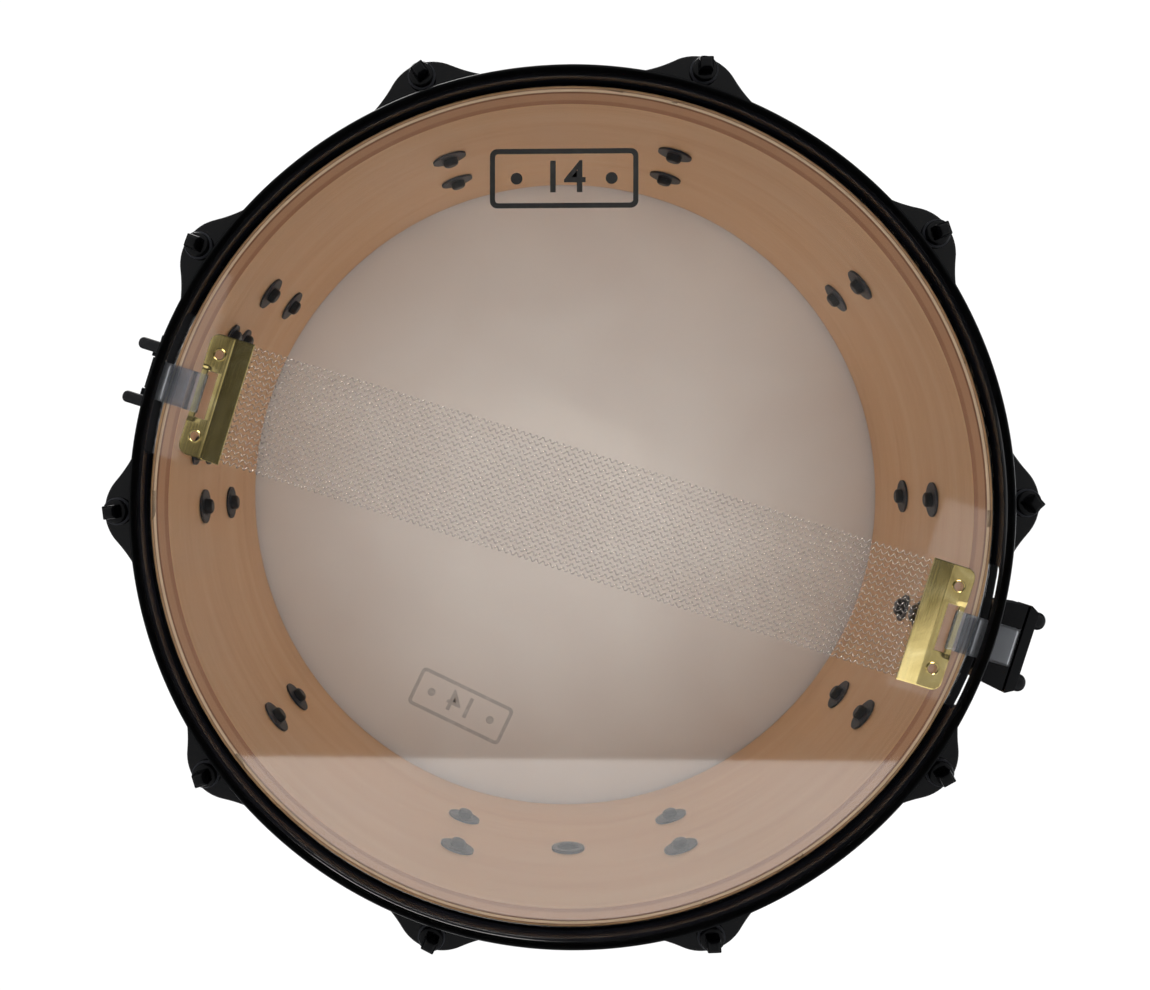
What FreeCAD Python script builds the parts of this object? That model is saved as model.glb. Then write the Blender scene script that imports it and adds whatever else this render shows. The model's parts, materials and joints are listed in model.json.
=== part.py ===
import FreeCAD, Part
import math
import os

# A 14 inch by 6.5 inch wood snare drum with ten double-ended lugs, triple-flanged hoops, two heads,
# twenty tension rods, a strand of coiled snare wires, a throw-off strainer and a butt end.
# The drum stands as it is played: the batter head is up and the snare side is down.
# The origin is on the drum's axis, in the plane of the snare-side hoop's lip.
# The snare wires run along X, with the strainer at -X and the butt end at +X. Millimetres.

# ---- driving dimensions ----
SHELL_OUTER_R = 177.0
SHELL_THICKNESS = 7.0
SHELL_DEPTH = 165.0
LIP_TO_EDGE = 10.0
LUG_COUNT = 10
ROD_CIRCLE_R = 195.5
SNARE_STRANDS = 20
STRAND_SPACING = 2.6
STRAND_DIAMETER = 2.0
LEVER_TRAVEL = 5.0

# ---- worked-out sizes ----
SHELL_INNER_R = SHELL_OUTER_R - SHELL_THICKNESS
EDGE_LOW = LIP_TO_EDGE
TOTAL_HEIGHT = SHELL_DEPTH + 2 * LIP_TO_EDGE
MID_HEIGHT = TOTAL_HEIGHT / 2
LUG_PITCH = 360.0 / LUG_COUNT
LUG_ANGLES = [LUG_PITCH * (k - 0.5) for k in range(LUG_COUNT)]
VENT_ANGLE = 2 * LUG_PITCH

# ---- shell ----
EDGE_PEAK_IN_R = 174.2
EDGE_PEAK_OUT_R = 176.2
SNARE_BED_DEPTH = 1.2
SNARE_BED_HALF_WIDTH = 45.0
VENT_TUBE_R = 6.2
VENT_BORE_R = 4.75
VENT_FLANGE_R = 8.0
VENT_FLANGE = 1.3

# ---- heads ----
FILM = 0.25
COLLAR_R = 177.7
COLLAR_BEND = 1.6
COLLAR_END_Z = 23.0
FLESH_OUTER_R = 182.6
FLESH_LOW = 15.0
FLESH_HIGH = 25.0

# ---- hoops ----
SHEET = 2.3
WALL_IN_R = 178.3
SKIRT_IN_R = 183.2
LIP_R = 182.8
FLANGE_R = 187.0
FLANGE_TOP_Z = 26.3
EAR_CROWN_R = 201.5
EAR_TIP_R = 20.0
EAR_FLANK_R = 60.0
ROD_HOLE_R = 3.3
GATE_HALF_WIDTH = 31.0
GATE_LIP_LEFT = 2.6

# ---- lugs, screws and rods ----
SEAT_R = 177.8
LUG_HALF_LENGTH = 35.0
LUG_HALF_WIDTH = 9.0
BARREL_R = 7.6
SCREW_OFFSET = 24.0
SCREW_R = 2.0
SCREW_HOLE_R = 2.2
SCREW_HEAD_R = 3.6
SCREW_HEAD_HEIGHT = 3.2
SCREW_END_X = 185.4
INNER_WASHER_R = 8.0
INNER_SEAT_R = 169.8
WASHER_THICKNESS = 1.0
NUT_R = 5.0
NUT_LENGTH = 13.0
NUT_RECESS = 2.5
ROD_R = 2.75
RUNNING = 0.05
END_GAP = 0.1
ROD_WASHER_R = 6.0
ROD_WASHER_THICKNESS = 1.6
ROD_COLLAR_R = 5.25
ROD_COLLAR_HEIGHT = 2.0
ROD_SQUARE = 5.8
ROD_TIP_Z = 11.5
ROD_END_Z = 71.5

# ---- snare wires ----
STRAND_Z = 8.45
STRAND_END_X = 151.0
PLATE_INNER_X = 148.0
PLATE_FOLD_X = 157.0
PLATE_OUTER_X = 167.0
PLATE_HALF_LENGTH = 26.4
PLATE_SHEET = 0.8
PLATE_Z = 7.9
PLATE_DROP = 2.0
WINDOW_X = (159.7, 164.3)
WINDOW_HALF_LENGTH = 10.15
PLATE_HOLE_X = 161.6
PLATE_HOLE_Y = 17.9
PLATE_HOLE_R = 2.0
PLATE_RIM_R = 2.75
STRAP_HALF_WIDTH = 8.3
STRAP = 0.4
WIRES_TOWARDS_BUTT = 2.7
STRAP_JOIN_X = 176.1
STRAP_Z = 9.1

# ---- strainer, with X measured outwards from the drum's axis ----
WING_ANGLE = 9.1
WING_SCREW_Z = (49.0, 71.0)
MOUNT_SCREW_HEAD_R = 4.3
MOUNT_WASHER_R = 6.5
BASE_HALF_ANGLE = 11.0
BASE_Z = (42.0, 88.0)
BASE_FRONT_R = 182.5
CHEEK_Y = (14.5, 18.5)
PIVOT_X = 200.0
PIVOT_Z = 73.0
PIVOT_R = 2.0
HUB_R = 7.5
HUB_Y = (8.0, 14.2)
CRANK_OFFSET = LEVER_TRAVEL / (2 * math.sin(math.radians(45)))
CRANK_R = 1.5
CARRIAGE_HALF_WIDTH = 14.2
SCREW_X = 186.6
WING_BOSS_R = 5.0
CHEEK_FOOT = 15.0
CHEEK_NOSE = 7.0
LEVER_HALF_THICKNESS = 3.0
LEVER_TIP = 64.0
LEVER_TIP_HALF_WIDTH = 9.5
BRIDGE_Z = (14.0, 22.0)
PIN_HEAD = 1.6
CARRIAGE_FRONT_X = 191.6
TONGUE_HALF_HEIGHT = 4.2
SLOT_PLAY = 0.4
CLAMP_HALF_WIDTH = 21.0
BOLT_HOLE_R = 1.75
PLATE_BOLT_HOLE_R = 1.85
CLAMP_Z = (44.0, 56.0)
CLAMP_MID = (CLAMP_Z[0] + CLAMP_Z[1]) / 2
CLAMP_FACE_X = 190.1
STRAP_CLAMP_X = 190.5
STRAINER_PLATE_X = (190.9, 195.8)
STRAINER_BOLT_Y = 12.75
BOLT_TIP_X = 207.5
KNOB_Z = (95.5, 106.5)
KNOB_R = 8.0
KNOB_FLUTES = 14
FLUTE_R = 1.2

# ---- butt end ----
BUTT_BLOCK_X = (186.5, 198.6)
BUTT_BLOCK_Z = (19.0, 36.0)
BUTT_HALF_WIDTH = 19.2
BUTT_PLATE_X = (199.2, 203.4)
BUTT_BOLT_Y = 13.75
BUTT_BOLT_Z = 23.5
BUTT_SCREW_Z = (62.0, 87.0)
BUTT_BACK_Z = (30.0, 98.0)
BUTT_BACK_HALF_WIDTH = 15.0
BUTT_BACK_FRONT_X = 184.0
BUTT_NECK_HALF_WIDTH = 13.0
BUTT_BOSS_R = 5.5
BUTT_THREAD_R = 2.0
BUTT_HOLE_R = 2.1

UP = FreeCAD.Vector(0, 0, 1)
ORIGIN = FreeCAD.Vector(0, 0, 0)


def vector(x, y, z):
    return FreeCAD.Vector(x, y, z)


def box(x, y, z):
    """A box from three (low, high) pairs."""
    return Part.makeBox(x[1] - x[0], y[1] - y[0], z[1] - z[0], vector(x[0], y[0], z[0]))


def upright(x, y, z, radius):
    """A cylinder along Z between the two heights in z."""
    return Part.makeCylinder(radius, z[1] - z[0], vector(x, y, z[0]), UP)


def outward(x, y, z, radius):
    """A cylinder along X between the two places in x."""
    return Part.makeCylinder(radius, x[1] - x[0], vector(x[0], y, z), vector(1, 0, 0))


def crosswise(x, y, z, radius):
    """A cylinder along Y between the two places in y."""
    return Part.makeCylinder(radius, y[1] - y[0], vector(x, y[0], z), vector(0, 1, 0))


def ring(inner, outer, z):
    return upright(0, 0, z, outer).cut(upright(0, 0, z, inner))


def turned(shape, degrees):
    """A copy turned about the drum's axis."""
    copy = shape.copy()
    copy.rotate(ORIGIN, UP, degrees)
    return copy


def flipped(shape):
    """A copy for the other head: mirrored in the plane at mid height."""
    return shape.mirror(vector(0, 0, MID_HEIGHT), UP)


def mirrored_y(shape):
    return shape.mirror(ORIGIN, vector(0, 1, 0))


def strainer_side(shape):
    """A copy turned half round, from +X where it is drawn to -X where it belongs."""
    return turned(shape, 180)


def outline(corners, place):
    """A closed wire through corners of (a, b, radius), each rounded by its radius.

    place turns a pair (a, b) into a point in space.
    """
    count = len(corners)
    edges = []
    starts = []
    ends = []
    middles = []
    for k in range(count):
        a, b, radius = corners[k]
        before = corners[k - 1]
        after = corners[(k + 1) % count]
        back = (before[0] - a, before[1] - b)
        ahead = (after[0] - a, after[1] - b)
        back_length = math.hypot(*back)
        ahead_length = math.hypot(*ahead)
        back = (back[0] / back_length, back[1] / back_length)
        ahead = (ahead[0] / ahead_length, ahead[1] / ahead_length)
        half = math.acos(max(-1, min(1, back[0] * ahead[0] + back[1] * ahead[1]))) / 2
        reach = radius / math.tan(half)
        starts.append((a + back[0] * reach, b + back[1] * reach))
        ends.append((a + ahead[0] * reach, b + ahead[1] * reach))
        bisector = (back[0] + ahead[0], back[1] + ahead[1])
        length = math.hypot(*bisector)
        depth = radius / math.sin(half) - radius
        middles.append((a + bisector[0] / length * depth, b + bisector[1] / length * depth))
    for k in range(count):
        following = (k + 1) % count
        if corners[k][2] > 0:
            points = [place(*starts[k]), place(*middles[k]), place(*ends[k])]
            edges.append(Part.Arc(*points).toShape())
        edges.append(Part.makeLine(place(*ends[k]), place(*starts[following])))
    return Part.Wire(edges)


def revolved(corners):
    """A full turn about Z of a profile of (radius, height, corner radius)."""
    face = Part.Face(outline(corners, lambda r, z: vector(r, 0, z)))
    return face.revolve(ORIGIN, UP, 360)


def across(corners, y):
    """A profile of (x, z, corner radius) swept along Y between the two places in y."""
    face = Part.Face(outline(corners, lambda x, z: vector(x, y[0], z)))
    return face.extrude(vector(0, y[1] - y[0], 0))


def slab(corners, z):
    """A flat outline of (x, y, corner radius) swept up between the two heights in z."""
    face = Part.Face(outline(corners, lambda x, y: vector(x, y, z[0])))
    return face.extrude(vector(0, 0, z[1] - z[0]))


def facing(corners, x):
    """An outline of (y, z, corner radius) swept outwards between the two places in x."""
    face = Part.Face(outline(corners, lambda y, z: vector(x[0], y, z)))
    return face.extrude(vector(x[1] - x[0], 0, 0))


def rectangle(a, b, radius):
    """Four corners of one radius, for outline."""
    return [(a[0], b[0], radius), (a[1], b[0], radius), (a[1], b[1], radius), (a[0], b[1], radius)]


def ribbon(points, thickness, half_width):
    """A flat band that follows points of (x, z), centred on Y = 0."""
    half = thickness / 2
    sides = []
    for side in (half, -half):
        row = []
        for k, (x, z) in enumerate(points):
            before = points[max(k - 1, 0)]
            after = points[min(k + 1, len(points) - 1)]
            first = math.atan2(z - before[1], x - before[0])
            second = math.atan2(after[1] - z, after[0] - x)
            if k == 0:
                first = second
            if k == len(points) - 1:
                second = first
            middle = (first + second) / 2
            reach = side / math.cos((second - first) / 2)
            row.append((x - math.sin(middle) * reach, z + math.cos(middle) * reach, 0))
        sides.append(row)
    return across(sides[0] + sides[1][::-1], (-half_width, half_width))


def moved_out(shape):
    """A copy moved towards the butt end, to where the wires lie."""
    copy = shape.copy()
    copy.translate(vector(WIRES_TOWARDS_BUTT, 0, 0))
    return copy


def save(node, *solids):
    """Write one node, as a single solid or as a group of separate ones."""
    shape = solids[0] if len(solids) == 1 else Part.makeCompound(list(solids))
    for solid in shape.Solids:
        if not solid.isValid() or solid.Volume <= 0:
            raise ValueError(node + " has a bad solid")
    shape.exportStep(os.path.join("parts", node + ".step"))


# ---- shell and heads ----


def make_shell():
    """A bent-ply tube with a bearing edge at each end, cut 45 degrees inside and rounded outside."""
    bevel = EDGE_PEAK_IN_R - SHELL_INNER_R
    shoulder = SHELL_OUTER_R - EDGE_PEAK_OUT_R
    half = [
        (SHELL_INNER_R, EDGE_LOW + bevel, 0.4),
        (EDGE_PEAK_IN_R, EDGE_LOW, 0),
        (EDGE_PEAK_OUT_R, EDGE_LOW, 0),
        (SHELL_OUTER_R, EDGE_LOW + shoulder, 0.5),
    ]
    other = [(r, TOTAL_HEIGHT - z, radius) for r, z, radius in half[::-1]]
    shell = revolved(half + other)
    bed_radius = (SNARE_BED_HALF_WIDTH ** 2 + SNARE_BED_DEPTH ** 2) / (2 * SNARE_BED_DEPTH)
    bed_z = EDGE_LOW + SNARE_BED_DEPTH - bed_radius
    shell = shell.cut(outward((-SHELL_OUTER_R - 5, SHELL_OUTER_R + 5), 0, bed_z, bed_radius))
    span = (SHELL_INNER_R - 5, SHELL_OUTER_R + 5)
    holes = []
    for angle in LUG_ANGLES:
        for side in (-1, 1):
            hole = outward(span, 0, MID_HEIGHT + side * SCREW_OFFSET, SCREW_HOLE_R)
            holes.append(turned(hole, angle))
    holes.append(turned(outward(span, 0, MID_HEIGHT, VENT_TUBE_R), VENT_ANGLE))
    for z in WING_SCREW_Z:
        for side in (-1, 1):
            holes.append(turned(outward(span, 0, z, SCREW_HOLE_R), 180 + side * WING_ANGLE))
    for z in BUTT_SCREW_Z:
        holes.append(outward(span, 0, z, SCREW_HOLE_R))
    return shell.cut(Part.makeCompound(holes))


def make_film():
    """The snare-side film: a disc that turns over the bearing edge into a short upright collar."""
    low = EDGE_LOW - FILM
    bend_r = COLLAR_R - COLLAR_BEND
    bend_z = low + COLLAR_BEND
    slant = math.sin(math.radians(45))
    inner_bend = COLLAR_BEND - FILM
    mid_out = (bend_r + COLLAR_BEND * slant, bend_z - COLLAR_BEND * slant)
    mid_in = (bend_r + inner_bend * slant, bend_z - inner_bend * slant)

    def place(r, z):
        return vector(r, 0, z)

    edges = [
        Part.makeLine(place(0, low), place(bend_r, low)),
        Part.Arc(place(bend_r, low), place(*mid_out), place(COLLAR_R, bend_z)).toShape(),
        Part.makeLine(place(COLLAR_R, bend_z), place(COLLAR_R, COLLAR_END_Z)),
        Part.makeLine(place(COLLAR_R, COLLAR_END_Z), place(COLLAR_R - FILM, COLLAR_END_Z)),
        Part.makeLine(place(COLLAR_R - FILM, COLLAR_END_Z), place(COLLAR_R - FILM, bend_z)),
        Part.Arc(place(COLLAR_R - FILM, bend_z), place(*mid_in), place(bend_r, EDGE_LOW)).toShape(),
        Part.makeLine(place(bend_r, EDGE_LOW), place(0, EDGE_LOW)),
        Part.makeLine(place(0, EDGE_LOW), place(0, low)),
    ]
    return Part.Face(Part.Wire(edges)).revolve(ORIGIN, UP, 360)


def make_flesh_hoop():
    profile = rectangle((COLLAR_R, FLESH_OUTER_R), (FLESH_LOW, FLESH_HIGH), 0.8)
    return revolved(profile)


# ---- hoops ----


def make_ear():
    """A bell-shaped ear at angle 0: a round tip run into the hoop by two hollow flanks."""
    tip_centre = EAR_CROWN_R - EAR_TIP_R
    base_r = FLANGE_R - 0.2
    far = base_r + EAR_FLANK_R
    near = EAR_TIP_R + EAR_FLANK_R
    turn = math.acos((far ** 2 + tip_centre ** 2 - near ** 2) / (2 * far * tip_centre))
    centre = (far * math.cos(turn), far * math.sin(turn))
    foot = (base_r * math.cos(turn), base_r * math.sin(turn))
    toward = ((centre[0] - tip_centre) / near, centre[1] / near)
    meet = (tip_centre + toward[0] * EAR_TIP_R, toward[1] * EAR_TIP_R)
    middle = ((foot[0] + meet[0]) / 2 - centre[0], (foot[1] + meet[1]) / 2 - centre[1])
    length = math.hypot(*middle)
    flank = (centre[0] + middle[0] / length * EAR_FLANK_R, centre[1] + middle[1] / length * EAR_FLANK_R)
    z = FLANGE_TOP_Z - SHEET
    root = (foot[0] - 5, foot[1])
    edges = [
        Part.Arc(vector(foot[0], foot[1], z), vector(*flank, z), vector(*meet, z)).toShape(),
        Part.Arc(
            vector(*meet, z),
            vector(EAR_CROWN_R, 0, z),
            vector(meet[0], -meet[1], z),
        ).toShape(),
        Part.Arc(
            vector(meet[0], -meet[1], z),
            vector(flank[0], -flank[1], z),
            vector(foot[0], -foot[1], z),
        ).toShape(),
        Part.makeLine(vector(foot[0], -foot[1], z), vector(root[0], -root[1], z)),
        Part.makeLine(vector(root[0], -root[1], z), vector(*root, z)),
        Part.makeLine(vector(*root, z), vector(foot[0], foot[1], z)),
    ]
    plate = Part.Face(Part.Wire(edges)).extrude(vector(0, 0, SHEET))
    return plate.cut(upright(0, 0, (z - 1, z + SHEET + 1), SKIRT_IN_R + 0.5))


def make_hoop(gates):
    """The snare-side hoop: lip, wall, step on the flesh hoop, skirt, flange and ears."""
    profile = [
        (LIP_R, 0, 1.1),
        (WALL_IN_R, 0, 1.6),
        (WALL_IN_R, FLESH_LOW, 0.3),
        (SKIRT_IN_R, FLESH_LOW, 0.3),
        (SKIRT_IN_R, FLANGE_TOP_Z, 2.4),
        (FLANGE_R, FLANGE_TOP_Z, 0.6),
        (FLANGE_R, FLANGE_TOP_Z - SHEET, 0.6),
        (SKIRT_IN_R + SHEET, FLANGE_TOP_Z - SHEET, 0.5),
        (SKIRT_IN_R + SHEET, FLESH_LOW - SHEET, 2.0),
        (WALL_IN_R + SHEET, FLESH_LOW - SHEET, 0.5),
        (WALL_IN_R + SHEET, SHEET, 0.8),
        (LIP_R, SHEET, 1.1),
    ]
    hoop = revolved(profile)
    ear = make_ear()
    hoop = hoop.fuse([turned(ear, angle) for angle in LUG_ANGLES]).removeSplitter()
    drills = (FLANGE_TOP_Z - SHEET - 1, FLANGE_TOP_Z + 1)
    cuts = [turned(upright(ROD_CIRCLE_R, 0, drills, ROD_HOLE_R), angle) for angle in LUG_ANGLES]
    if gates:
        gate_y = (-GATE_HALF_WIDTH, GATE_HALF_WIDTH)
        gate_z = (GATE_LIP_LEFT, FLANGE_TOP_Z + 1)
        cuts.append(box((WALL_IN_R - 15, FLANGE_R + 5), gate_y, gate_z))
        cuts.append(box((-FLANGE_R - 5, 15 - WALL_IN_R), gate_y, gate_z))
    return hoop.cut(Part.makeCompound(cuts))


# ---- lugs and tension rods, drawn at angle 0 and repeated round the shell ----


def make_lug():
    """A cast double-ended lug: two barrels on a pad, with a hollow waist between them."""
    reach = ROD_CIRCLE_R + BARREL_R
    low = MID_HEIGHT - LUG_HALF_LENGTH
    high = MID_HEIGHT + LUG_HALF_LENGTH
    section = [
        (SHELL_INNER_R, -LUG_HALF_WIDTH, 0),
        (SEAT_R + 4, -LUG_HALF_WIDTH, 3),
        (reach, -BARREL_R, BARREL_R - 0.2),
        (reach, BARREL_R, BARREL_R - 0.2),
        (SEAT_R + 4, LUG_HALF_WIDTH, 3),
        (SHELL_INNER_R, LUG_HALF_WIDTH, 0),
    ]
    body = slab(section, (low, high))
    side = [
        (SHELL_INNER_R, low, 0),
        (reach - 4, low, 2),
        (reach, low + 6, 6),
        (reach, MID_HEIGHT - 16, 6),
        (SEAT_R + 8, MID_HEIGHT - 5, 8),
        (SEAT_R + 8, MID_HEIGHT + 5, 8),
        (reach, MID_HEIGHT + 16, 6),
        (reach, high - 6, 6),
        (reach - 4, high, 2),
        (SHELL_INNER_R, high, 0),
    ]
    body = body.common(across(side, (-LUG_HALF_WIDTH - 1, LUG_HALF_WIDTH + 1)))
    cuts = [upright(0, 0, (low - 1, high + 1), SEAT_R)]
    for end, inward in ((low, 1), (high, -1)):
        mouth = sorted((end - inward, end + inward * (NUT_RECESS + NUT_LENGTH + 0.5)))
        cuts.append(upright(ROD_CIRCLE_R, 0, mouth, NUT_R + 0.02))
    for side_sign in (-1, 1):
        z = MID_HEIGHT + side_sign * SCREW_OFFSET
        cuts.append(outward((SHELL_INNER_R, SCREW_END_X), 0, z, SCREW_R))
    for cut in cuts:
        body = body.cut(cut)
    return body


def seat_gasket(half_width, z, hole_z):
    """A thin pad that follows the shell's curve, with a hole for each screw."""
    pad = ring(SHELL_OUTER_R, SEAT_R, z)
    pad = pad.common(facing(rectangle((-half_width, half_width), z, 3), (SHELL_INNER_R, SEAT_R + 5)))
    for height in hole_z:
        pad = pad.cut(outward((SHELL_INNER_R, SEAT_R + 5), 0, height, SCREW_HOLE_R))
    return pad


def inner_screw(z, head_r, end_x):
    """A round-headed screw put in from inside the shell, pointing outwards."""
    seat = INNER_SEAT_R - WASHER_THICKNESS
    dome = [
        (0, seat - SCREW_HEAD_HEIGHT, 0),
        (head_r, seat - SCREW_HEAD_HEIGHT, head_r * 0.45),
        (head_r, seat, 0),
        (0, seat, 0),
    ]
    head = revolved(dome)
    head.rotate(ORIGIN, vector(0, 1, 0), 90)
    head.translate(vector(0, 0, z))
    return head.fuse(outward((seat, end_x), 0, z, SCREW_R)).removeSplitter()


def inner_washer(z, radius):
    place = (INNER_SEAT_R - WASHER_THICKNESS, INNER_SEAT_R)
    return outward(place, 0, z, radius).cut(outward(place, 0, z, SCREW_HOLE_R))


def make_swivel_nut():
    """The threaded bush at the snare-side end of a lug."""
    low = MID_HEIGHT - LUG_HALF_LENGTH + NUT_RECESS
    nut = upright(ROD_CIRCLE_R, 0, (low, low + NUT_LENGTH), NUT_R)
    return nut.cut(upright(ROD_CIRCLE_R, 0, (low, low + NUT_LENGTH), ROD_R + RUNNING))


def make_rod_washer():
    top = FLANGE_TOP_Z - SHEET
    place = (top - ROD_WASHER_THICKNESS, top)
    washer = upright(ROD_CIRCLE_R, 0, place, ROD_WASHER_R)
    return washer.cut(upright(ROD_CIRCLE_R, 0, place, ROD_R + 0.3))


def make_rod():
    """A snare-side tension rod: square drive, collar, shank and a chamfered end in the lug."""
    seat = FLANGE_TOP_Z - SHEET - ROD_WASHER_THICKNESS - END_GAP
    collar_low = seat - ROD_COLLAR_HEIGHT
    half = ROD_SQUARE / 2
    drive = box((-half, half), (-half, half), (ROD_TIP_Z, collar_low))
    taper = Part.makeCone(half * 0.92, half * 2.2, 3.0, vector(0, 0, ROD_TIP_Z), UP)
    taper = taper.fuse(upright(0, 0, (ROD_TIP_Z + 3.0, collar_low), half * 2.2))
    drive = drive.common(taper)
    turned_part = revolved([
        (0, collar_low, 0),
        (ROD_COLLAR_R, collar_low, 0.7),
        (ROD_COLLAR_R, seat, 0.2),
        (ROD_R, seat, 0),
        (ROD_R, ROD_END_Z - 1.0, 0),
        (ROD_R - 1.0, ROD_END_Z, 0),
        (0, ROD_END_Z, 0),
    ])
    rod = turned_part.fuse(drive).removeSplitter()
    rod.translate(vector(ROD_CIRCLE_R, 0, 0))
    return rod


# ---- snare wires and straps, drawn at the +X end ----


def make_snare_plate():
    """A folded brass end plate: a flat with a strap window, and a slope under the strand ends."""
    top = PLATE_Z + PLATE_SHEET
    profile = [
        (PLATE_INNER_X, PLATE_Z - PLATE_DROP, 0),
        (PLATE_FOLD_X, PLATE_Z, 0),
        (PLATE_OUTER_X, PLATE_Z, 0),
        (PLATE_OUTER_X, top, 0),
        (PLATE_FOLD_X, top, 0),
        (PLATE_INNER_X, top - PLATE_DROP, 0),
    ]
    plate = across(profile, (-PLATE_HALF_LENGTH, PLATE_HALF_LENGTH))
    tall = (PLATE_Z - PLATE_DROP - 1, top + 1)
    shape = [
        (PLATE_INNER_X, -PLATE_HALF_LENGTH, 0.6),
        (PLATE_OUTER_X, -PLATE_HALF_LENGTH, 4.0),
        (PLATE_OUTER_X, PLATE_HALF_LENGTH, 4.0),
        (PLATE_INNER_X, PLATE_HALF_LENGTH, 0.6),
    ]
    plate = plate.common(slab(shape, tall))
    window_y = (-WINDOW_HALF_LENGTH, WINDOW_HALF_LENGTH)
    plate = plate.cut(slab(rectangle(WINDOW_X, window_y, 0.4), tall))
    for side in (-1, 1):
        y = side * PLATE_HOLE_Y
        rim = upright(PLATE_HOLE_X, y, (PLATE_Z - 0.5, PLATE_Z), PLATE_RIM_R)
        plate = plate.fuse(rim).cut(upright(PLATE_HOLE_X, y, tall, PLATE_HOLE_R))
    return plate.removeSplitter()


def make_strands():
    """Each coiled strand as a straight rod of the coil's outer diameter."""
    first = -(SNARE_STRANDS - 1) / 2
    strands = []
    for k in range(SNARE_STRANDS):
        y = (first + k) * STRAND_SPACING
        strands.append(outward((-STRAND_END_X, STRAND_END_X), y, STRAND_Z, STRAND_DIAMETER / 2))
    return strands


def make_strap_run(shift):
    """The strap's loop round the plate's outer bar, and its run to the bearing edge.

    shift is how far out this side's plate sits from where the wires would be centred.
    """
    width = (-STRAP_HALF_WIDTH, STRAP_HALF_WIDTH)
    low = PLATE_Z - 0.3 - STRAP
    high = STRAP_Z + STRAP / 2
    inner = WINDOW_X[1] + shift - 0.3
    outer = PLATE_OUTER_X + shift + 0.3
    loop = box((inner - STRAP, outer + STRAP), width, (low, high))
    loop = loop.cut(box((inner, outer), (-STRAP_HALF_WIDTH - 1, STRAP_HALF_WIDTH + 1),
                        (low + STRAP, high - STRAP)))
    run = box((outer, STRAP_JOIN_X), width, (high - STRAP, high))
    return loop.fuse(run).removeSplitter()


# ---- strainer, drawn at +X and turned to -X when it is saved ----


def wing_pair(shape):
    """A part drawn at angle 0, once on each wing."""
    return [turned(shape, side * WING_ANGLE) for side in (-1, 1)]


def make_strainer_base():
    """A curved back plate with four screw bosses and two cheeks that carry the lever."""
    plate = ring(SEAT_R, BASE_FRONT_R, BASE_Z)
    half = BASE_FRONT_R * math.sin(math.radians(BASE_HALF_ANGLE))
    plate = plate.common(facing(rectangle((-half, half), BASE_Z, 6), (SHELL_INNER_R, BASE_FRONT_R + 5)))
    adds = []
    for z in WING_SCREW_Z:
        adds += wing_pair(outward((SEAT_R + 1, SCREW_END_X + 1.5), 0, z, WING_BOSS_R))
    cheek = across([
        (BASE_FRONT_R - 3, PIVOT_Z - CHEEK_FOOT, 1),
        (PIVOT_X + 1, PIVOT_Z - 7.5, 4),
        (PIVOT_X + CHEEK_NOSE, PIVOT_Z, 5),
        (PIVOT_X + 1, PIVOT_Z + 8, 4),
        (BASE_FRONT_R - 3, BASE_Z[1], 1),
    ], CHEEK_Y)
    adds += [cheek, mirrored_y(cheek)]
    base = plate.fuse(adds).removeSplitter()
    base = base.cut(upright(0, 0, (BASE_Z[0] - 1, BASE_Z[1] + 1), SEAT_R))
    for z in WING_SCREW_Z:
        for hole in wing_pair(outward((SHELL_INNER_R, SCREW_END_X), 0, z, SCREW_R)):
            base = base.cut(hole)
    return base.cut(crosswise(PIVOT_X, (-30, 30), PIVOT_Z, PIVOT_R))


def make_strainer_gasket():
    half = BASE_FRONT_R * math.sin(math.radians(BASE_HALF_ANGLE)) + 0.4
    tall = (BASE_Z[0] - 0.5, BASE_Z[1] + 0.5)
    pad = ring(SHELL_OUTER_R, SEAT_R, tall)
    pad = pad.common(facing(rectangle((-half, half), tall, 6), (SHELL_INNER_R, SEAT_R + 5)))
    for z in WING_SCREW_Z:
        for hole in wing_pair(outward((SHELL_INNER_R, SEAT_R + 5), 0, z, SCREW_HOLE_R)):
            pad = pad.cut(hole)
    return pad


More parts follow.
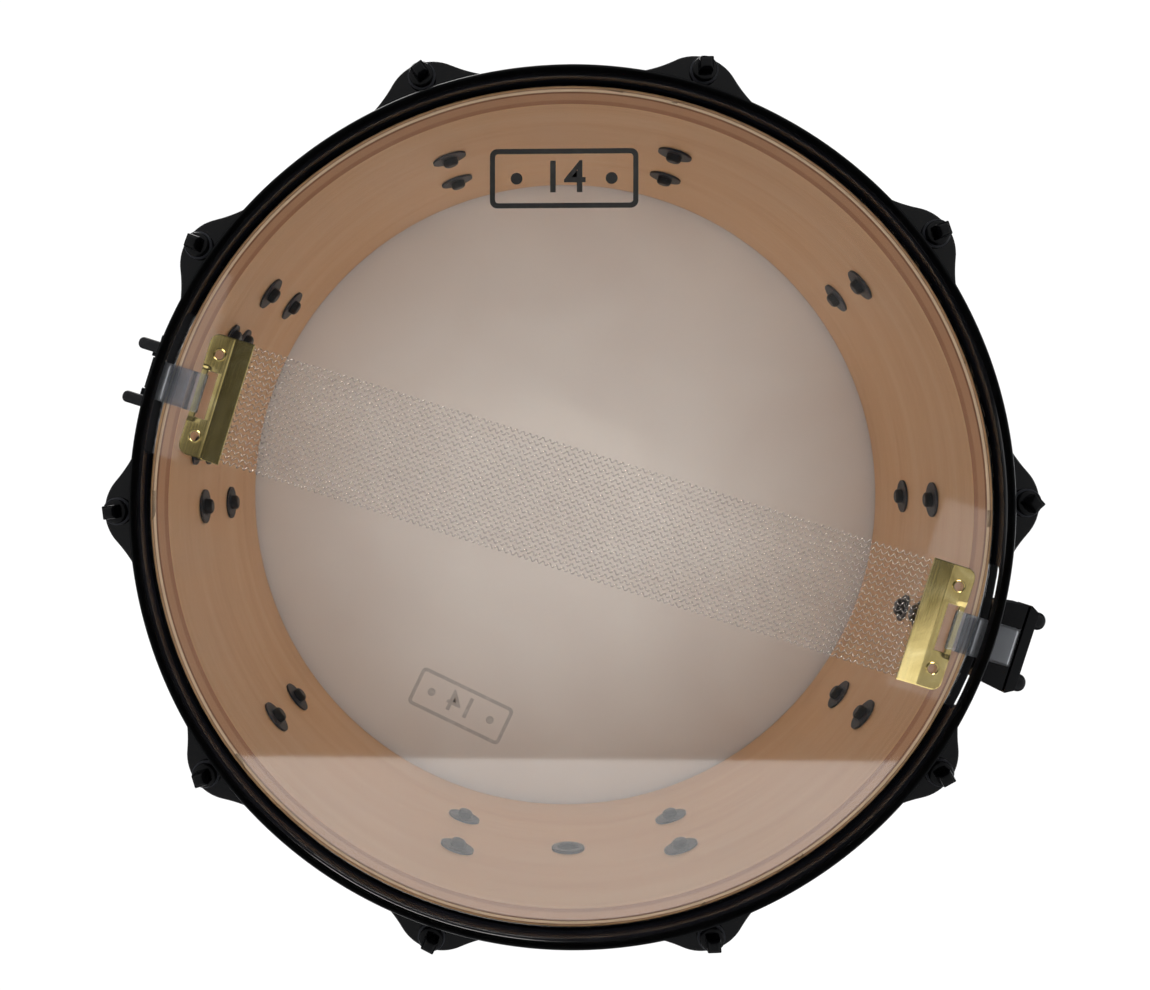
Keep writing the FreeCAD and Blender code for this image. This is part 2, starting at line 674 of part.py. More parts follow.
def make_lever():
    """A lever on two hub discs, with a crank pin between them that works in the carriage's slot."""
    parts = []
    thickness = (PIVOT_X - LEVER_HALF_THICKNESS, PIVOT_X + LEVER_HALF_THICKNESS)
    for side in (-1, 1):
        ends = sorted((side * HUB_Y[0], side * HUB_Y[1]))
        parts.append(crosswise(PIVOT_X, ends, PIVOT_Z, HUB_R))
        parts.append(box(thickness, ends, (PIVOT_Z, PIVOT_Z + BRIDGE_Z[1] - 2)))
    bridge_z = (PIVOT_Z + BRIDGE_Z[0], PIVOT_Z + BRIDGE_Z[1])
    parts.append(slab(rectangle(thickness, (-HUB_Y[1], HUB_Y[1]), 1), bridge_z))
    handle = across([
        (thickness[0], PIVOT_Z + 18, 0),
        (thickness[1], PIVOT_Z + 18, 0),
        (thickness[1], PIVOT_Z + 44, 12),
        (PIVOT_X + 8, PIVOT_Z + 62, 1.6),
        (PIVOT_X + 5, PIVOT_Z + 63, 1.2),
        (PIVOT_X - 1, PIVOT_Z + 44, 12),
    ], (-LEVER_TIP_HALF_WIDTH, LEVER_TIP_HALF_WIDTH))
    shape = [
        (-HUB_Y[1], PIVOT_Z - 10, 0),
        (HUB_Y[1], PIVOT_Z - 10, 0),
        (HUB_Y[1], bridge_z[1], 4),
        (LEVER_TIP_HALF_WIDTH, PIVOT_Z + 40, 10),
        (LEVER_TIP_HALF_WIDTH, PIVOT_Z + LEVER_TIP, 7),
        (-LEVER_TIP_HALF_WIDTH, PIVOT_Z + LEVER_TIP, 7),
        (-LEVER_TIP_HALF_WIDTH, PIVOT_Z + 40, 10),
        (-HUB_Y[1], bridge_z[1], 4),
    ]
    parts.append(handle)
    crank_x = PIVOT_X + CRANK_OFFSET * math.cos(math.radians(45))
    crank_z = PIVOT_Z + CRANK_OFFSET * math.sin(math.radians(45))
    parts.append(crosswise(crank_x, (-HUB_Y[0] - 1, HUB_Y[0] + 1), crank_z, CRANK_R))
    lever = parts[0].fuse(parts[1:]).removeSplitter()
    lever = lever.common(facing(shape, (PIVOT_X - 12, PIVOT_X + 12)))
    return lever.cut(crosswise(PIVOT_X, (HUB_Y[0] + 1, 20), PIVOT_Z, PIVOT_R + RUNNING)).cut(
        crosswise(PIVOT_X, (-20, -HUB_Y[0] - 1), PIVOT_Z, PIVOT_R + RUNNING))


def make_lever_pin():
    """A headed stub pin in one cheek, reaching into the lever's hub disc."""
    shank = crosswise(PIVOT_X, (HUB_Y[0] + 1.2, CHEEK_Y[1] + 0.2), PIVOT_Z, PIVOT_R)
    head = crosswise(PIVOT_X, (CHEEK_Y[1], CHEEK_Y[1] + PIN_HEAD), PIVOT_Z, PIVOT_R + PIN_HEAD)
    return shank.fuse(head).removeSplitter()


def make_carriage():
    """The slider behind the lever, with a slotted tongue for the crank and a bore for the screw."""
    half = CARRIAGE_HALF_WIDTH
    body = box((BASE_FRONT_R + 0.4, CARRIAGE_FRONT_X), (-half, half), (PIVOT_Z - 12, KNOB_Z[0] - 0.3))
    crank_z = PIVOT_Z + LEVER_TRAVEL / 2
    tongue_y = (-HUB_Y[0] + 0.5, HUB_Y[0] - 0.5)
    tongue_z = (crank_z - TONGUE_HALF_HEIGHT, crank_z + TONGUE_HALF_HEIGHT)
    tongue = box((CARRIAGE_FRONT_X - 0.6, PIVOT_X + 6.4), tongue_y, tongue_z)
    slot_z = (crank_z - CRANK_R - SLOT_PLAY, crank_z + CRANK_R + SLOT_PLAY)
    slot = box((PIVOT_X + 0.4, PIVOT_X + 5.4), (-HUB_Y[1], HUB_Y[1]), slot_z)
    carriage = body.fuse(tongue).removeSplitter().cut(slot)
    return carriage.cut(upright(SCREW_X, 0, (PIVOT_Z - 13, KNOB_Z[0]), SCREW_R + RUNNING))


def make_tension_screw():
    """The fine-tension screw: it turns in the carriage and carries the clamp block on its thread."""
    return upright(SCREW_X, 0, (CLAMP_Z[0] - 1.5, KNOB_Z[0] + 6), SCREW_R)


def make_tension_knob():
    """A fluted knob on top of the fine-tension screw."""
    knob = upright(SCREW_X, 0, KNOB_Z, KNOB_R)
    flutes = []
    for k in range(KNOB_FLUTES):
        angle = math.radians(360 / KNOB_FLUTES * k)
        x = SCREW_X + (KNOB_R + 0.5) * math.cos(angle)
        y = (KNOB_R + 0.5) * math.sin(angle)
        flutes.append(upright(x, y, (KNOB_Z[0] - 1, KNOB_Z[1] + 1), FLUTE_R))
    knob = knob.cut(Part.makeCompound(flutes))
    return knob.cut(upright(SCREW_X, 0, (KNOB_Z[0] - 1, KNOB_Z[0] + 6), SCREW_R))


def make_clamp_block():
    """The inner clamp jaw, carried on the screw's thread and drilled for the two clamp bolts."""
    width = (-CLAMP_HALF_WIDTH, CLAMP_HALF_WIDTH)
    block = facing(rectangle(width, CLAMP_Z, 1.5), (BASE_FRONT_R + 0.7, CLAMP_FACE_X))
    block = block.cut(upright(SCREW_X, 0, (CLAMP_Z[0] - 1, CLAMP_Z[1] + 1), SCREW_R + RUNNING))
    for side in (-1, 1):
        y = side * STRAINER_BOLT_Y
        block = block.cut(outward((BASE_FRONT_R, CLAMP_FACE_X + 1), y, CLAMP_MID, BOLT_HOLE_R))
    return block


def make_strainer_plate():
    """The outer clamp plate, which pinches the strap against the block."""
    width = (-CLAMP_HALF_WIDTH, CLAMP_HALF_WIDTH)
    plate = facing(rectangle(width, CLAMP_Z, 1.5), STRAINER_PLATE_X)
    for side in (-1, 1):
        span = (STRAINER_PLATE_X[0] - 3, STRAINER_PLATE_X[1] + 4)
        plate = plate.cut(outward(span, side * STRAINER_BOLT_Y, CLAMP_MID, PLATE_BOLT_HOLE_R))
    return plate


def headed_bolt(plate_x, tip_x, y, z, head_r, shank_from, shank_r):
    """A clamp bolt: a long round head with a domed end, and a shank through the plate."""
    corners = [(0, plate_x, 0), (head_r, plate_x, 0.3), (head_r, tip_x, head_r * 0.8), (0, tip_x, 0)]
    head = revolved(corners)
    head.rotate(ORIGIN, vector(0, 1, 0), 90)
    bolt = head.fuse(outward((shank_from, plate_x), 0, 0, shank_r)).removeSplitter()
    bolt.translate(vector(0, y, z))
    return bolt


# ---- butt end, drawn at +X where it belongs ----


def make_butt_base():
    """A back plate screwed to the shell, with a wide clamp block below it."""
    width = (-BUTT_BACK_HALF_WIDTH, BUTT_BACK_HALF_WIDTH)
    back = facing(rectangle(width, BUTT_BACK_Z, 5), (SHELL_INNER_R, BUTT_BACK_FRONT_X))
    neck_back = BUTT_BACK_FRONT_X - 2
    neck = across([
        (neck_back, BUTT_BACK_Z[0], 0),
        (BUTT_BLOCK_X[1] - 1, BUTT_BACK_Z[0], 0),
        (BUTT_BLOCK_X[1] - 1, BUTT_BLOCK_Z[1], 2),
        (BUTT_BACK_FRONT_X + 3.5, BUTT_BACK_Z[0] + 22, 8),
        (BUTT_BACK_FRONT_X, BUTT_BACK_Z[0] + 30, 0),
        (neck_back, BUTT_BACK_Z[0] + 30, 0),
    ], (-BUTT_NECK_HALF_WIDTH, BUTT_NECK_HALF_WIDTH))
    block = slab([
        (BUTT_BLOCK_X[0], -BUTT_HALF_WIDTH + 2, 0.8),
        (BUTT_BLOCK_X[1], -BUTT_HALF_WIDTH, 0.8),
        (BUTT_BLOCK_X[1], BUTT_HALF_WIDTH, 0.8),
        (BUTT_BLOCK_X[0], BUTT_HALF_WIDTH - 2, 0.8),
    ], BUTT_BLOCK_Z)
    boss_x = (BUTT_BACK_FRONT_X - 1, SCREW_END_X + 2)
    bosses = [outward(boss_x, 0, z, BUTT_BOSS_R) for z in BUTT_SCREW_Z]
    base = back.fuse([neck, block] + bosses).removeSplitter()
    base = base.cut(upright(0, 0, (0, BUTT_BACK_Z[1] + 22), SEAT_R))
    for z in BUTT_SCREW_Z:
        base = base.cut(outward((SHELL_INNER_R, SCREW_END_X), 0, z, SCREW_R))
    for side in (-1, 1):
        span = (BUTT_BLOCK_X[0] + 1.5, BUTT_PLATE_X[1] + 1.6)
        base = base.cut(outward(span, side * BUTT_BOLT_Y, BUTT_BOLT_Z, BUTT_THREAD_R))
    return base


def make_butt_plate():
    """The outer clamp plate of the butt end, with chamfered corners."""
    half = BUTT_HALF_WIDTH + 0.4
    plate = slab([
        (BUTT_PLATE_X[0], -half, 0.4),
        (BUTT_PLATE_X[1], -half + 2.5, 0.8),
        (BUTT_PLATE_X[1], half - 2.5, 0.8),
        (BUTT_PLATE_X[0], half, 0.4),
    ], (BUTT_BLOCK_Z[0] - 0.6, BUTT_BLOCK_Z[1] - 2))
    for side in (-1, 1):
        span = (BUTT_BLOCK_X[1] - 0.6, BUTT_PLATE_X[1] + 1.6)
        plate = plate.cut(outward(span, side * BUTT_BOLT_Y, BUTT_BOLT_Z, BUTT_HOLE_R))
    return plate


def make_vent_grommet():
    """A turned vent eyelet, flanged inside and outside the shell."""
    inner_face = INNER_SEAT_R - VENT_FLANGE
    outer_face = SHELL_OUTER_R + VENT_FLANGE
    profile = [
        (VENT_BORE_R, inner_face, 0.5),
        (VENT_FLANGE_R, inner_face, 0.6),
        (VENT_FLANGE_R, INNER_SEAT_R, 0),
        (VENT_TUBE_R, INNER_SEAT_R, 0),
        (VENT_TUBE_R, SHELL_OUTER_R, 0),
        (VENT_FLANGE_R, SHELL_OUTER_R, 0),
        (VENT_FLANGE_R, outer_face, 0.6),
        (VENT_BORE_R, outer_face, 0.5),
    ]
    grommet = revolved(profile)
    grommet.rotate(ORIGIN, vector(0, 1, 0), 90)
    grommet.translate(vector(0, 0, MID_HEIGHT))
    return turned(grommet, VENT_ANGLE)


def save_shell_and_heads():
    save("shell", make_shell())
    save("vent_grommet", make_vent_grommet())
    film = make_film()
    flesh = make_flesh_hoop()
    save("snare_head_film", film)
    save("snare_flesh_hoop", flesh)
    save("batter_head_film", flipped(film))
    save("batter_flesh_hoop", flipped(flesh))
    save("snare_hoop", make_hoop(gates=True))
    save("batter_hoop", flipped(make_hoop(gates=False)))


def save_lugs_and_rods():
    lug = make_lug()
    screw_heights = [MID_HEIGHT - SCREW_OFFSET, MID_HEIGHT + SCREW_OFFSET]
    gasket_z = (MID_HEIGHT - LUG_HALF_LENGTH - 0.5, MID_HEIGHT + LUG_HALF_LENGTH + 0.5)
    gasket = seat_gasket(LUG_HALF_WIDTH + 0.5, gasket_z, screw_heights)
    nut = make_swivel_nut()
    rod_washer = make_rod_washer()
    save("lug_bodies", *[turned(lug, a) for a in LUG_ANGLES])
    save("lug_gaskets", *[turned(gasket, a) for a in LUG_ANGLES])
    screws = [inner_screw(z, SCREW_HEAD_R, SCREW_END_X) for z in screw_heights]
    washers = [inner_washer(z, INNER_WASHER_R) for z in screw_heights]
    save("lug_screws", *[turned(s, a) for a in LUG_ANGLES for s in screws])
    save("lug_screw_washers", *[turned(w, a) for a in LUG_ANGLES for w in washers])
    nuts = [nut, flipped(nut)]
    save("swivel_nuts", *[turned(n, a) for a in LUG_ANGLES for n in nuts])
    save("snare_rod_washers", *[turned(rod_washer, a) for a in LUG_ANGLES])
    save("batter_rod_washers", *[turned(flipped(rod_washer), a) for a in LUG_ANGLES])
    rod = make_rod()
    for k, angle in enumerate(LUG_ANGLES, start=1):
        save("snare_tension_rod_%02d" % k, turned(rod, angle))
        save("batter_tension_rod_%02d" % k, turned(flipped(rod), angle))


def save_snare_wires():
    """The wires sit a little nearer to the butt end than to the strainer."""
    plate = make_snare_plate()
    save("snare_plate_butt_side", moved_out(plate))
    save("snare_plate_strainer_side", moved_out(strainer_side(plate)))
    save("snare_strands", *[moved_out(strand) for strand in make_strands()])
    runs = [make_strap_run(WIRES_TOWARDS_BUTT), strainer_side(make_strap_run(-WIRES_TOWARDS_BUTT))]
    save("snare_strap_runs", *runs)
    start = (STRAP_JOIN_X + 0.2, STRAP_Z)
    over_hoop = (183.4, 14.2)
    strainer_path = [start, over_hoop, (STRAP_CLAMP_X, 38.0), (STRAP_CLAMP_X, CLAMP_Z[1] + 2)]
    butt_path = [start, over_hoop, (198.9, 18.2), (198.9, BUTT_BLOCK_Z[1] - 1)]
    drop = ribbon(strainer_path, STRAP, STRAP_HALF_WIDTH)
    save("snare_strap_strainer_drop", strainer_side(drop))
    save("snare_strap_butt_drop", ribbon(butt_path, STRAP, STRAP_HALF_WIDTH))


def save_strainer():
    save("strainer_base", strainer_side(make_strainer_base()))
    save("strainer_gasket", strainer_side(make_strainer_gasket()))
    screws = []
    washers = []
    for z in WING_SCREW_Z:
        screws += wing_pair(inner_screw(z, MOUNT_SCREW_HEAD_R, SCREW_END_X))
        washers += wing_pair(inner_washer(z, MOUNT_WASHER_R))
    save("strainer_mount_screws", *[strainer_side(s) for s in screws])
    save("strainer_mount_washers", *[strainer_side(w) for w in washers])
    save("strainer_lever", strainer_side(make_lever()))
    pin = make_lever_pin()
    save("strainer_lever_pins", strainer_side(pin), strainer_side(mirrored_y(pin)))
    save("strainer_carriage", strainer_side(make_carriage()))
    save("strainer_tension_screw", strainer_side(make_tension_screw()))
    save("strainer_tension_knob", strainer_side(make_tension_knob()))
    save("strainer_clamp_block", strainer_side(make_clamp_block()))
    save("strainer_clamp_plate", strainer_side(make_strainer_plate()))
    bolts = []
    for side in (-1, 1):
        bolt = headed_bolt(STRAINER_PLATE_X[1], BOLT_TIP_X, side * STRAINER_BOLT_Y, CLAMP_MID,
                           2.7, BASE_FRONT_R + 1.2, 1.75)
        bolts.append(strainer_side(bolt))
    save("strainer_clamp_bolts", *bolts)


def save_butt():
    save("butt_base", make_butt_base())
    save("butt_gasket", seat_gasket(15.5, (29.5, 98.5), BUTT_SCREW_Z))
    save("butt_mount_screws", *[inner_screw(z, MOUNT_SCREW_HEAD_R, SCREW_END_X) for z in BUTT_SCREW_Z])
    save("butt_mount_washers", *[inner_washer(z, MOUNT_WASHER_R) for z in BUTT_SCREW_Z])
    save("butt_clamp_plate", make_butt_plate())
    bolts = []
    for side in (-1, 1):
        bolts.append(headed_bolt(BUTT_PLATE_X[1], BOLT_TIP_X + 1.0, side * BUTT_BOLT_Y, BUTT_BOLT_Z,
                                 3.8, 188.5, 2.0))
    save("butt_clamp_bolts", *bolts)


os.makedirs("parts", exist_ok=True)
save_shell_and_heads()
save_lugs_and_rods()
save_snare_wires()
save_strainer()
save_butt()
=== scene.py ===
"""A snare drum seen from its snare side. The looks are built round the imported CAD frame, in metres."""
import json
import math
import random

import bmesh  # noqa: E402
import bpy  # noqa: E402
from mathutils import Matrix, Vector  # noqa: E402


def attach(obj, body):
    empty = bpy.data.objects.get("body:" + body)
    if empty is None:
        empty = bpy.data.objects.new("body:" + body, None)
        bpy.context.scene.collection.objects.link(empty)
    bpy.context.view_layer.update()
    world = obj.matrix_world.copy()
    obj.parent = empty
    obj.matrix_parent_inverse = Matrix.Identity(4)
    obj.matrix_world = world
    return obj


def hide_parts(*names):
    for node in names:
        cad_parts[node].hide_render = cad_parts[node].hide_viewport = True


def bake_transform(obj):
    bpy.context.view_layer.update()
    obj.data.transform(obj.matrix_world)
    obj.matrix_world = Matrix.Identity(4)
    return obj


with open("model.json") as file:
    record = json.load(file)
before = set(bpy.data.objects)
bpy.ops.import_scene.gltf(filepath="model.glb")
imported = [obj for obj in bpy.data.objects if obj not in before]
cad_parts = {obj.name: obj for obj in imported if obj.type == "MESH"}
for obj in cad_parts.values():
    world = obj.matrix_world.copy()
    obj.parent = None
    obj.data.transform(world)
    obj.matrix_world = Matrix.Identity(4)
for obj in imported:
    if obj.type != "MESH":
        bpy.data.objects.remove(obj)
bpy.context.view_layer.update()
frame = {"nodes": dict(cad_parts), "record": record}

MM = 0.001

# The drum's own sizes, in millimetres, as the CAD has them.
TOTAL_HEIGHT = 185.0
MID_HEIGHT = TOTAL_HEIGHT / 2
LUG_COUNT = 10
LUG_PITCH = 360 / LUG_COUNT
LUG_ANGLES = [LUG_PITCH * (k - 0.5) for k in range(LUG_COUNT)]
ROD_CIRCLE_R = 195.5
SHELL_IN_R = 170.0
SHELL_OUT_R = 177.0
EDGE_Z = 10.0
SNARE_BED = 1.2
SNARE_BED_HALF_WIDTH = 45.0
VENT_ANGLE = 72.0
SHEET = 2.3
EAR_CROWN_R = 201.5
EAR_TIP_R = 20.0
EAR_FLANK_R = 60.0
LIP_R = 182.8
WALL_MID_R = 179.45
SKIRT_MID_R = 184.35
FLANGE_R = 187.0
ROD_HOLE_R = 3.3
WIRES_TOWARDS_BUTT = 2.7
STRANDS = 20
STRAND_SPACING = 2.6
STRAP = 0.4
STRAP_HALF_WIDTH = 8.3
STRAND_Z = 8.45
STRAND_END_X = 151.0
LUG_HALF_LENGTH = 35.0
LUG_EDGE = 1.0
NUT_R = 5.02
PLATE_OUTER_X = 167.0
PLATE_HALF_LENGTH = 26.4
PLATE_CORNER = 4.2
GATE_HALF_WIDTH = 31.0
GATE_LIP = 2.6
VENT_TUBE_R = 6.2


# ---- meshes ----


def put(name, mesh):
    made = bpy.data.objects.new(name, mesh)
    bpy.context.scene.collection.objects.link(made)
    return made


def shade(mesh, sharp):
    """Smooth shading, with an edge kept sharp where its faces meet at more than that many degrees."""
    mesh.polygons.foreach_set("use_smooth", [True] * len(mesh.polygons))
    mesh.set_sharp_from_angle(angle=math.radians(sharp))
    mesh.update()


def outward_faces(mesh):
    work = bmesh.new()
    work.from_mesh(mesh)
    bmesh.ops.recalc_face_normals(work, faces=work.faces)
    work.to_mesh(mesh)
    work.free()


def make_piece(name, points, faces, sharp=35):
    """A mesh object from points in millimetres."""
    mesh = bpy.data.meshes.new(name)
    mesh.from_pydata([[c * MM for c in p] for p in points], [], faces)
    outward_faces(mesh)
    shade(mesh, sharp)
    return put(name, mesh)


def loft(loops, around=False, capped=True):
    """The points and faces of a skin over closed loops of equal count.

    around closes the last loop on the first, and capped closes both ends when it doesn't.
    """
    count = len(loops[0])
    points = [p for loop in loops for p in loop]
    faces = []
    for row in range(len(loops) if around else len(loops) - 1):
        here = row * count
        there = (row + 1) % len(loops) * count
        for k in range(count):
            after = (k + 1) % count
            faces.append((here + k, here + after, there + after, there + k))
    if capped and not around:
        faces.append(tuple(range(count)))
        last = (len(loops) - 1) * count
        faces.append(tuple(range(last, last + count)))
    return points, faces


def gathered(*shells):
    """Several sets of points and faces as one."""
    points, faces = [], []
    for shell_points, shell_faces in shells:
        start = len(points)
        points += shell_points
        faces += [tuple(start + k for k in face) for face in shell_faces]
    return points, faces


def moved(shell, matrix):
    points, faces = shell
    return [tuple(matrix @ Vector(p)) for p in points], faces


def turned(shell, degrees):
    return moved(shell, Matrix.Rotation(math.radians(degrees), 4, "Z"))


def flipped(shell):
    """The same shell at the batter side."""
    half_turn = Matrix.Rotation(math.pi, 4, "X")
    return moved(shell, Matrix.Translation((0, 0, TOTAL_HEIGHT)) @ half_turn)


def lathe(profile, segments=48, centre=(0.0, 0.0), closed=False):
    """A turned shell from (radius, z) points, capped flat at its ends unless its profile is closed."""
    loops = []
    for radius, z in profile:
        loops.append([(centre[0] + radius * math.cos(2 * math.pi * k / segments),
                       centre[1] + radius * math.sin(2 * math.pi * k / segments), z)
                      for k in range(segments)])
    return loft(loops, around=closed)


def settled(piece):
    """The piece with its modifiers made part of its mesh."""
    graph = bpy.context.evaluated_depsgraph_get()
    graph.update()
    mesh = bpy.data.meshes.new_from_object(piece.evaluated_get(graph))
    piece.modifiers.clear()
    piece.data = mesh
    return piece


def cut(piece, *shells, sharp=35):
    """Cuts closed shells out of the piece."""
    for shell in shells:
        cutter = make_piece("cutter", *shell)
        step = piece.modifiers.new("cut", "BOOLEAN")
        step.operation = "DIFFERENCE"
        step.solver = "EXACT"
        step.object = cutter
        settled(piece)
        bpy.data.objects.remove(cutter)
    shade(piece.data, sharp)
    return piece


def eased(piece, width, sharp=35):
    """Rounds the piece's edges to that width in millimetres."""
    step = piece.modifiers.new("ease", "BEVEL")
    step.width = width * MM
    step.segments = 3
    step.limit_method = "ANGLE"
    step.angle_limit = math.radians(30)
    settled(piece)
    shade(piece.data, sharp)
    return piece


def filleted(corners, steps=6):
    """A 2D line through (x, y, fillet radius) corners, each inner corner rounded by its own radius."""
    line = [Vector(corners[0][:2])]
    for before, corner, after in zip(corners, corners[1:], corners[2:]):
        here = Vector(corner[:2])
        back = (Vector(before[:2]) - here).normalized()
        on = (Vector(after[:2]) - here).normalized()
        turn = math.pi - back.angle(on)
        if corner[2] <= 0 or turn < 0.02:
            line.append(here)
            continue
        reach = corner[2] * math.tan(turn / 2)
        middle = here + (back + on).normalized() * corner[2] / math.cos(turn / 2)
        start = here + back * reach - middle
        way = 1 if back.x * on.y - back.y * on.x < 0 else -1
        for k in range(steps + 1):
            a = way * turn * k / steps
            line.append(middle + Vector((start.x * math.cos(a) - start.y * math.sin(a),
                                         start.x * math.sin(a) + start.y * math.cos(a))))
    line.append(Vector(corners[-1][:2]))
    return line


def banded(line, half, cap_steps=5):
    """A closed section that follows a 2D line at half a thickness each side, with round ends."""
    left, right = [], []
    for k, here in enumerate(line):
        before = line[max(k - 1, 0)]
        after = line[min(k + 1, len(line) - 1)]
        along = (after - before).normalized()
        normal = Vector((-along.y, along.x))
        left.append(here + normal * half)
        right.append(here - normal * half)

    def cap(end, edge):
        start = edge - end
        arc = []
        for k in range(1, cap_steps):
            a = -math.pi * k / cap_steps
            arc.append(end + Vector((start.x * math.cos(a) - start.y * math.sin(a),
                                     start.x * math.sin(a) + start.y * math.cos(a))))
        return arc

    return left + cap(line[-1], left[-1]) + right[::-1] + cap(line[0], right[0])


# ---- materials ----


class Paint:
    """One material's nodes, with short calls to add them and join them."""

    def __init__(self, name):
        self.material = bpy.data.materials.new(name)
        self.material.use_nodes = True
        self.tree = self.material.node_tree
        self.tree.nodes.clear()
        self.place = self.add("TexCoord").outputs["Object"]

    def feed(self, socket, value):
        if isinstance(value, bpy.types.NodeSocket):
            self.tree.links.new(value, socket)
        else:
            socket.default_value = value

    def add(self, kind, inputs=None, **settings):
        node = self.tree.nodes.new("ShaderNode" + kind)
        for key, value in settings.items():
            setattr(node, key, value)
        for key, value in (inputs or {}).items():
            self.feed(node.inputs[key], value)
        return node

    def sum(self, operation, a, b=0.0, clamp=False):
        return self.add("Math", {0: a, 1: b}, operation=operation, use_clamp=clamp).outputs[0]

    def between(self, value, low, high):
        """0 below low, 1 above high, and smooth between them."""
        node = self.add("MapRange", {"Value": value, "From Min": low, "From Max": high},
                        interpolation_type="SMOOTHSTEP")
        return node.outputs[0]

    def mix(self, factor, a, b):
        node = self.add("Mix", data_type="RGBA")
        self.feed(node.inputs[0], factor)
        self.feed(node.inputs[6], a)
        self.feed(node.inputs[7], b)
        return node.outputs[2]

    def blend_values(self, factor, a, b):
        node = self.add("Mix", data_type="FLOAT")
        self.feed(node.inputs[0], factor)
        self.feed(node.inputs[2], a)
        self.feed(node.inputs[3], b)
        return node.outputs[0]

    def stretched(self, x, y, z):
        return self.add("Mapping", {"Vector": self.place, "Scale": (x, y, z)}).outputs[0]

    def noise(self, scale, detail=3.0, place=None, distortion=0.0):
        node = self.add("TexNoise", {"Vector": place or self.place, "Scale": scale, "Detail": detail,
                                     "Distortion": distortion})
        return node.outputs[0]

    def ramp(self, factor, stops, kind="LINEAR"):
        node = self.add("ValToRGB", {"Fac": factor})
        node.color_ramp.interpolation = kind
        marks = node.color_ramp.elements
        while len(marks) < len(stops):
            marks.new(1.0)
        for mark, (position, colour) in zip(marks, stops):
            mark.position = position
            mark.color = (*colour, 1.0)
        return node.outputs[0]

    def bump(self, height, distance, strength=1.0, normal=None):
        inputs = {"Height": height, "Distance": distance, "Strength": strength}
        if normal:
            inputs["Normal"] = normal
        return self.add("Bump", inputs).outputs[0]

    def rounded(self, radius):
        """A normal that rounds hard CAD edges by that many millimetres."""
        return self.add("Bevel", {"Radius": radius * MM}, samples=4).outputs[0]

    def solid(self, **inputs):
        named = {key.replace("_", " "): value for key, value in inputs.items()}
        return self.add("BsdfPrincipled", named).outputs[0]

    def done(self, shader):
        self.add("OutputMaterial", {"Surface": shader})
        return self.material


def maple():
    """Clear-lacquered maple ply: grain runs round the drum, and its plies show where the edges are cut."""
    p = Paint("maple_ply")
    axes = p.add("SeparateXYZ", {"Vector": p.place}).outputs
    across = p.sum("ADD", p.sum("MULTIPLY", axes[0], axes[0]), p.sum("MULTIPLY", axes[1], axes[1]))
    radius = p.sum("SQRT", across)
    broad = p.noise(1.0, 4, p.stretched(7, 7, 60), 0.4)
    streak = p.noise(1.0, 5, p.stretched(14, 14, 420), 0.3)
    fleck = p.noise(1.0, 2, p.stretched(130, 130, 2600))
    figure = p.sum("ADD", p.sum("MULTIPLY", broad, 0.6), p.sum("MULTIPLY", streak, 0.4))
    wood = p.ramp(figure, [(0.28, (0.77, 0.455, 0.225)), (0.45, (0.85, 0.545, 0.290)),
                           (0.58, (0.88, 0.595, 0.340)), (0.75, (0.91, 0.645, 0.395))])
    wood = p.mix(p.sum("MULTIPLY", p.between(fleck, 0.60, 0.74), 0.35), wood, (0.60, 0.37, 0.20, 1))
    walls = {"Value": radius, "From Min": SHELL_IN_R * MM, "From Max": SHELL_OUT_R * MM}
    thickness = p.add("MapRange", walls).outputs[0]
    ply = p.ramp(thickness, [
        (0.00, (0.36, 0.165, 0.090)), (0.18, (0.40, 0.185, 0.100)), (0.24, (0.53, 0.290, 0.160)),
        (0.50, (0.55, 0.300, 0.165)), (0.53, (0.24, 0.100, 0.050)), (0.58, (0.27, 0.115, 0.060)),
        (0.61, (0.86, 0.660, 0.440)), (0.74, (0.84, 0.620, 0.400)), (0.77, (0.30, 0.130, 0.065)),
        (0.80, (0.34, 0.150, 0.075)), (0.83, (0.76, 0.460, 0.220)), (1.00, (0.70, 0.400, 0.180))])
    fibre = p.noise(1.0, 3, p.stretched(220, 220, 40))
    ply = p.mix(p.sum("MULTIPLY", fibre, 0.28), ply, (0.52, 0.32, 0.19, 1))
    inside = p.between(radius, (SHELL_IN_R + 0.08) * MM, (SHELL_IN_R + 0.2) * MM)
    outside = p.between(radius, (SHELL_OUT_R - 0.2) * MM, (SHELL_OUT_R - 0.08) * MM)
    edge = p.sum("SUBTRACT", inside, outside, clamp=True)
    colour = p.mix(edge, wood, ply)
    rough = p.blend_values(outside, 0.46, 0.20)
    rough = p.sum("ADD", rough, p.sum("MULTIPLY", p.sum("SUBTRACT", streak, 0.5), 0.25))
    relief = p.sum("ADD", p.sum("MULTIPLY", fleck, 0.5), streak)
    return p.done(p.solid(Base_Color=colour, Roughness=rough, Coat_Weight=p.blend_values(outside, 0.06, 0.7),
                          Coat_Roughness=0.12, Normal=p.bump(relief, 0.00006, 0.35)))


def black_gloss(name, rough, radius, tone, grain, depth=0.00001, coat=0.0):
    """Black enamel, plating or casting: how fine and how deep its surface texture is tells them apart."""
    p = Paint(name)
    smear = p.noise(26.0, 4, distortion=0.6)
    fine = p.noise(grain, 3)
    colour = p.mix(p.between(smear, 0.35, 0.7), (*tone, 1), (*[c * 1.7 for c in tone], 1))
    roughness = p.sum("ADD", rough - 0.05, p.sum("MULTIPLY", smear, 0.14))
    base = p.rounded(radius) if radius else None
    return p.done(p.solid(Base_Color=colour, Roughness=roughness, Specular_IOR_Level=0.2, Coat_Weight=coat,
                          Coat_Roughness=0.06, Normal=p.bump(fine, depth, 0.5, base)))


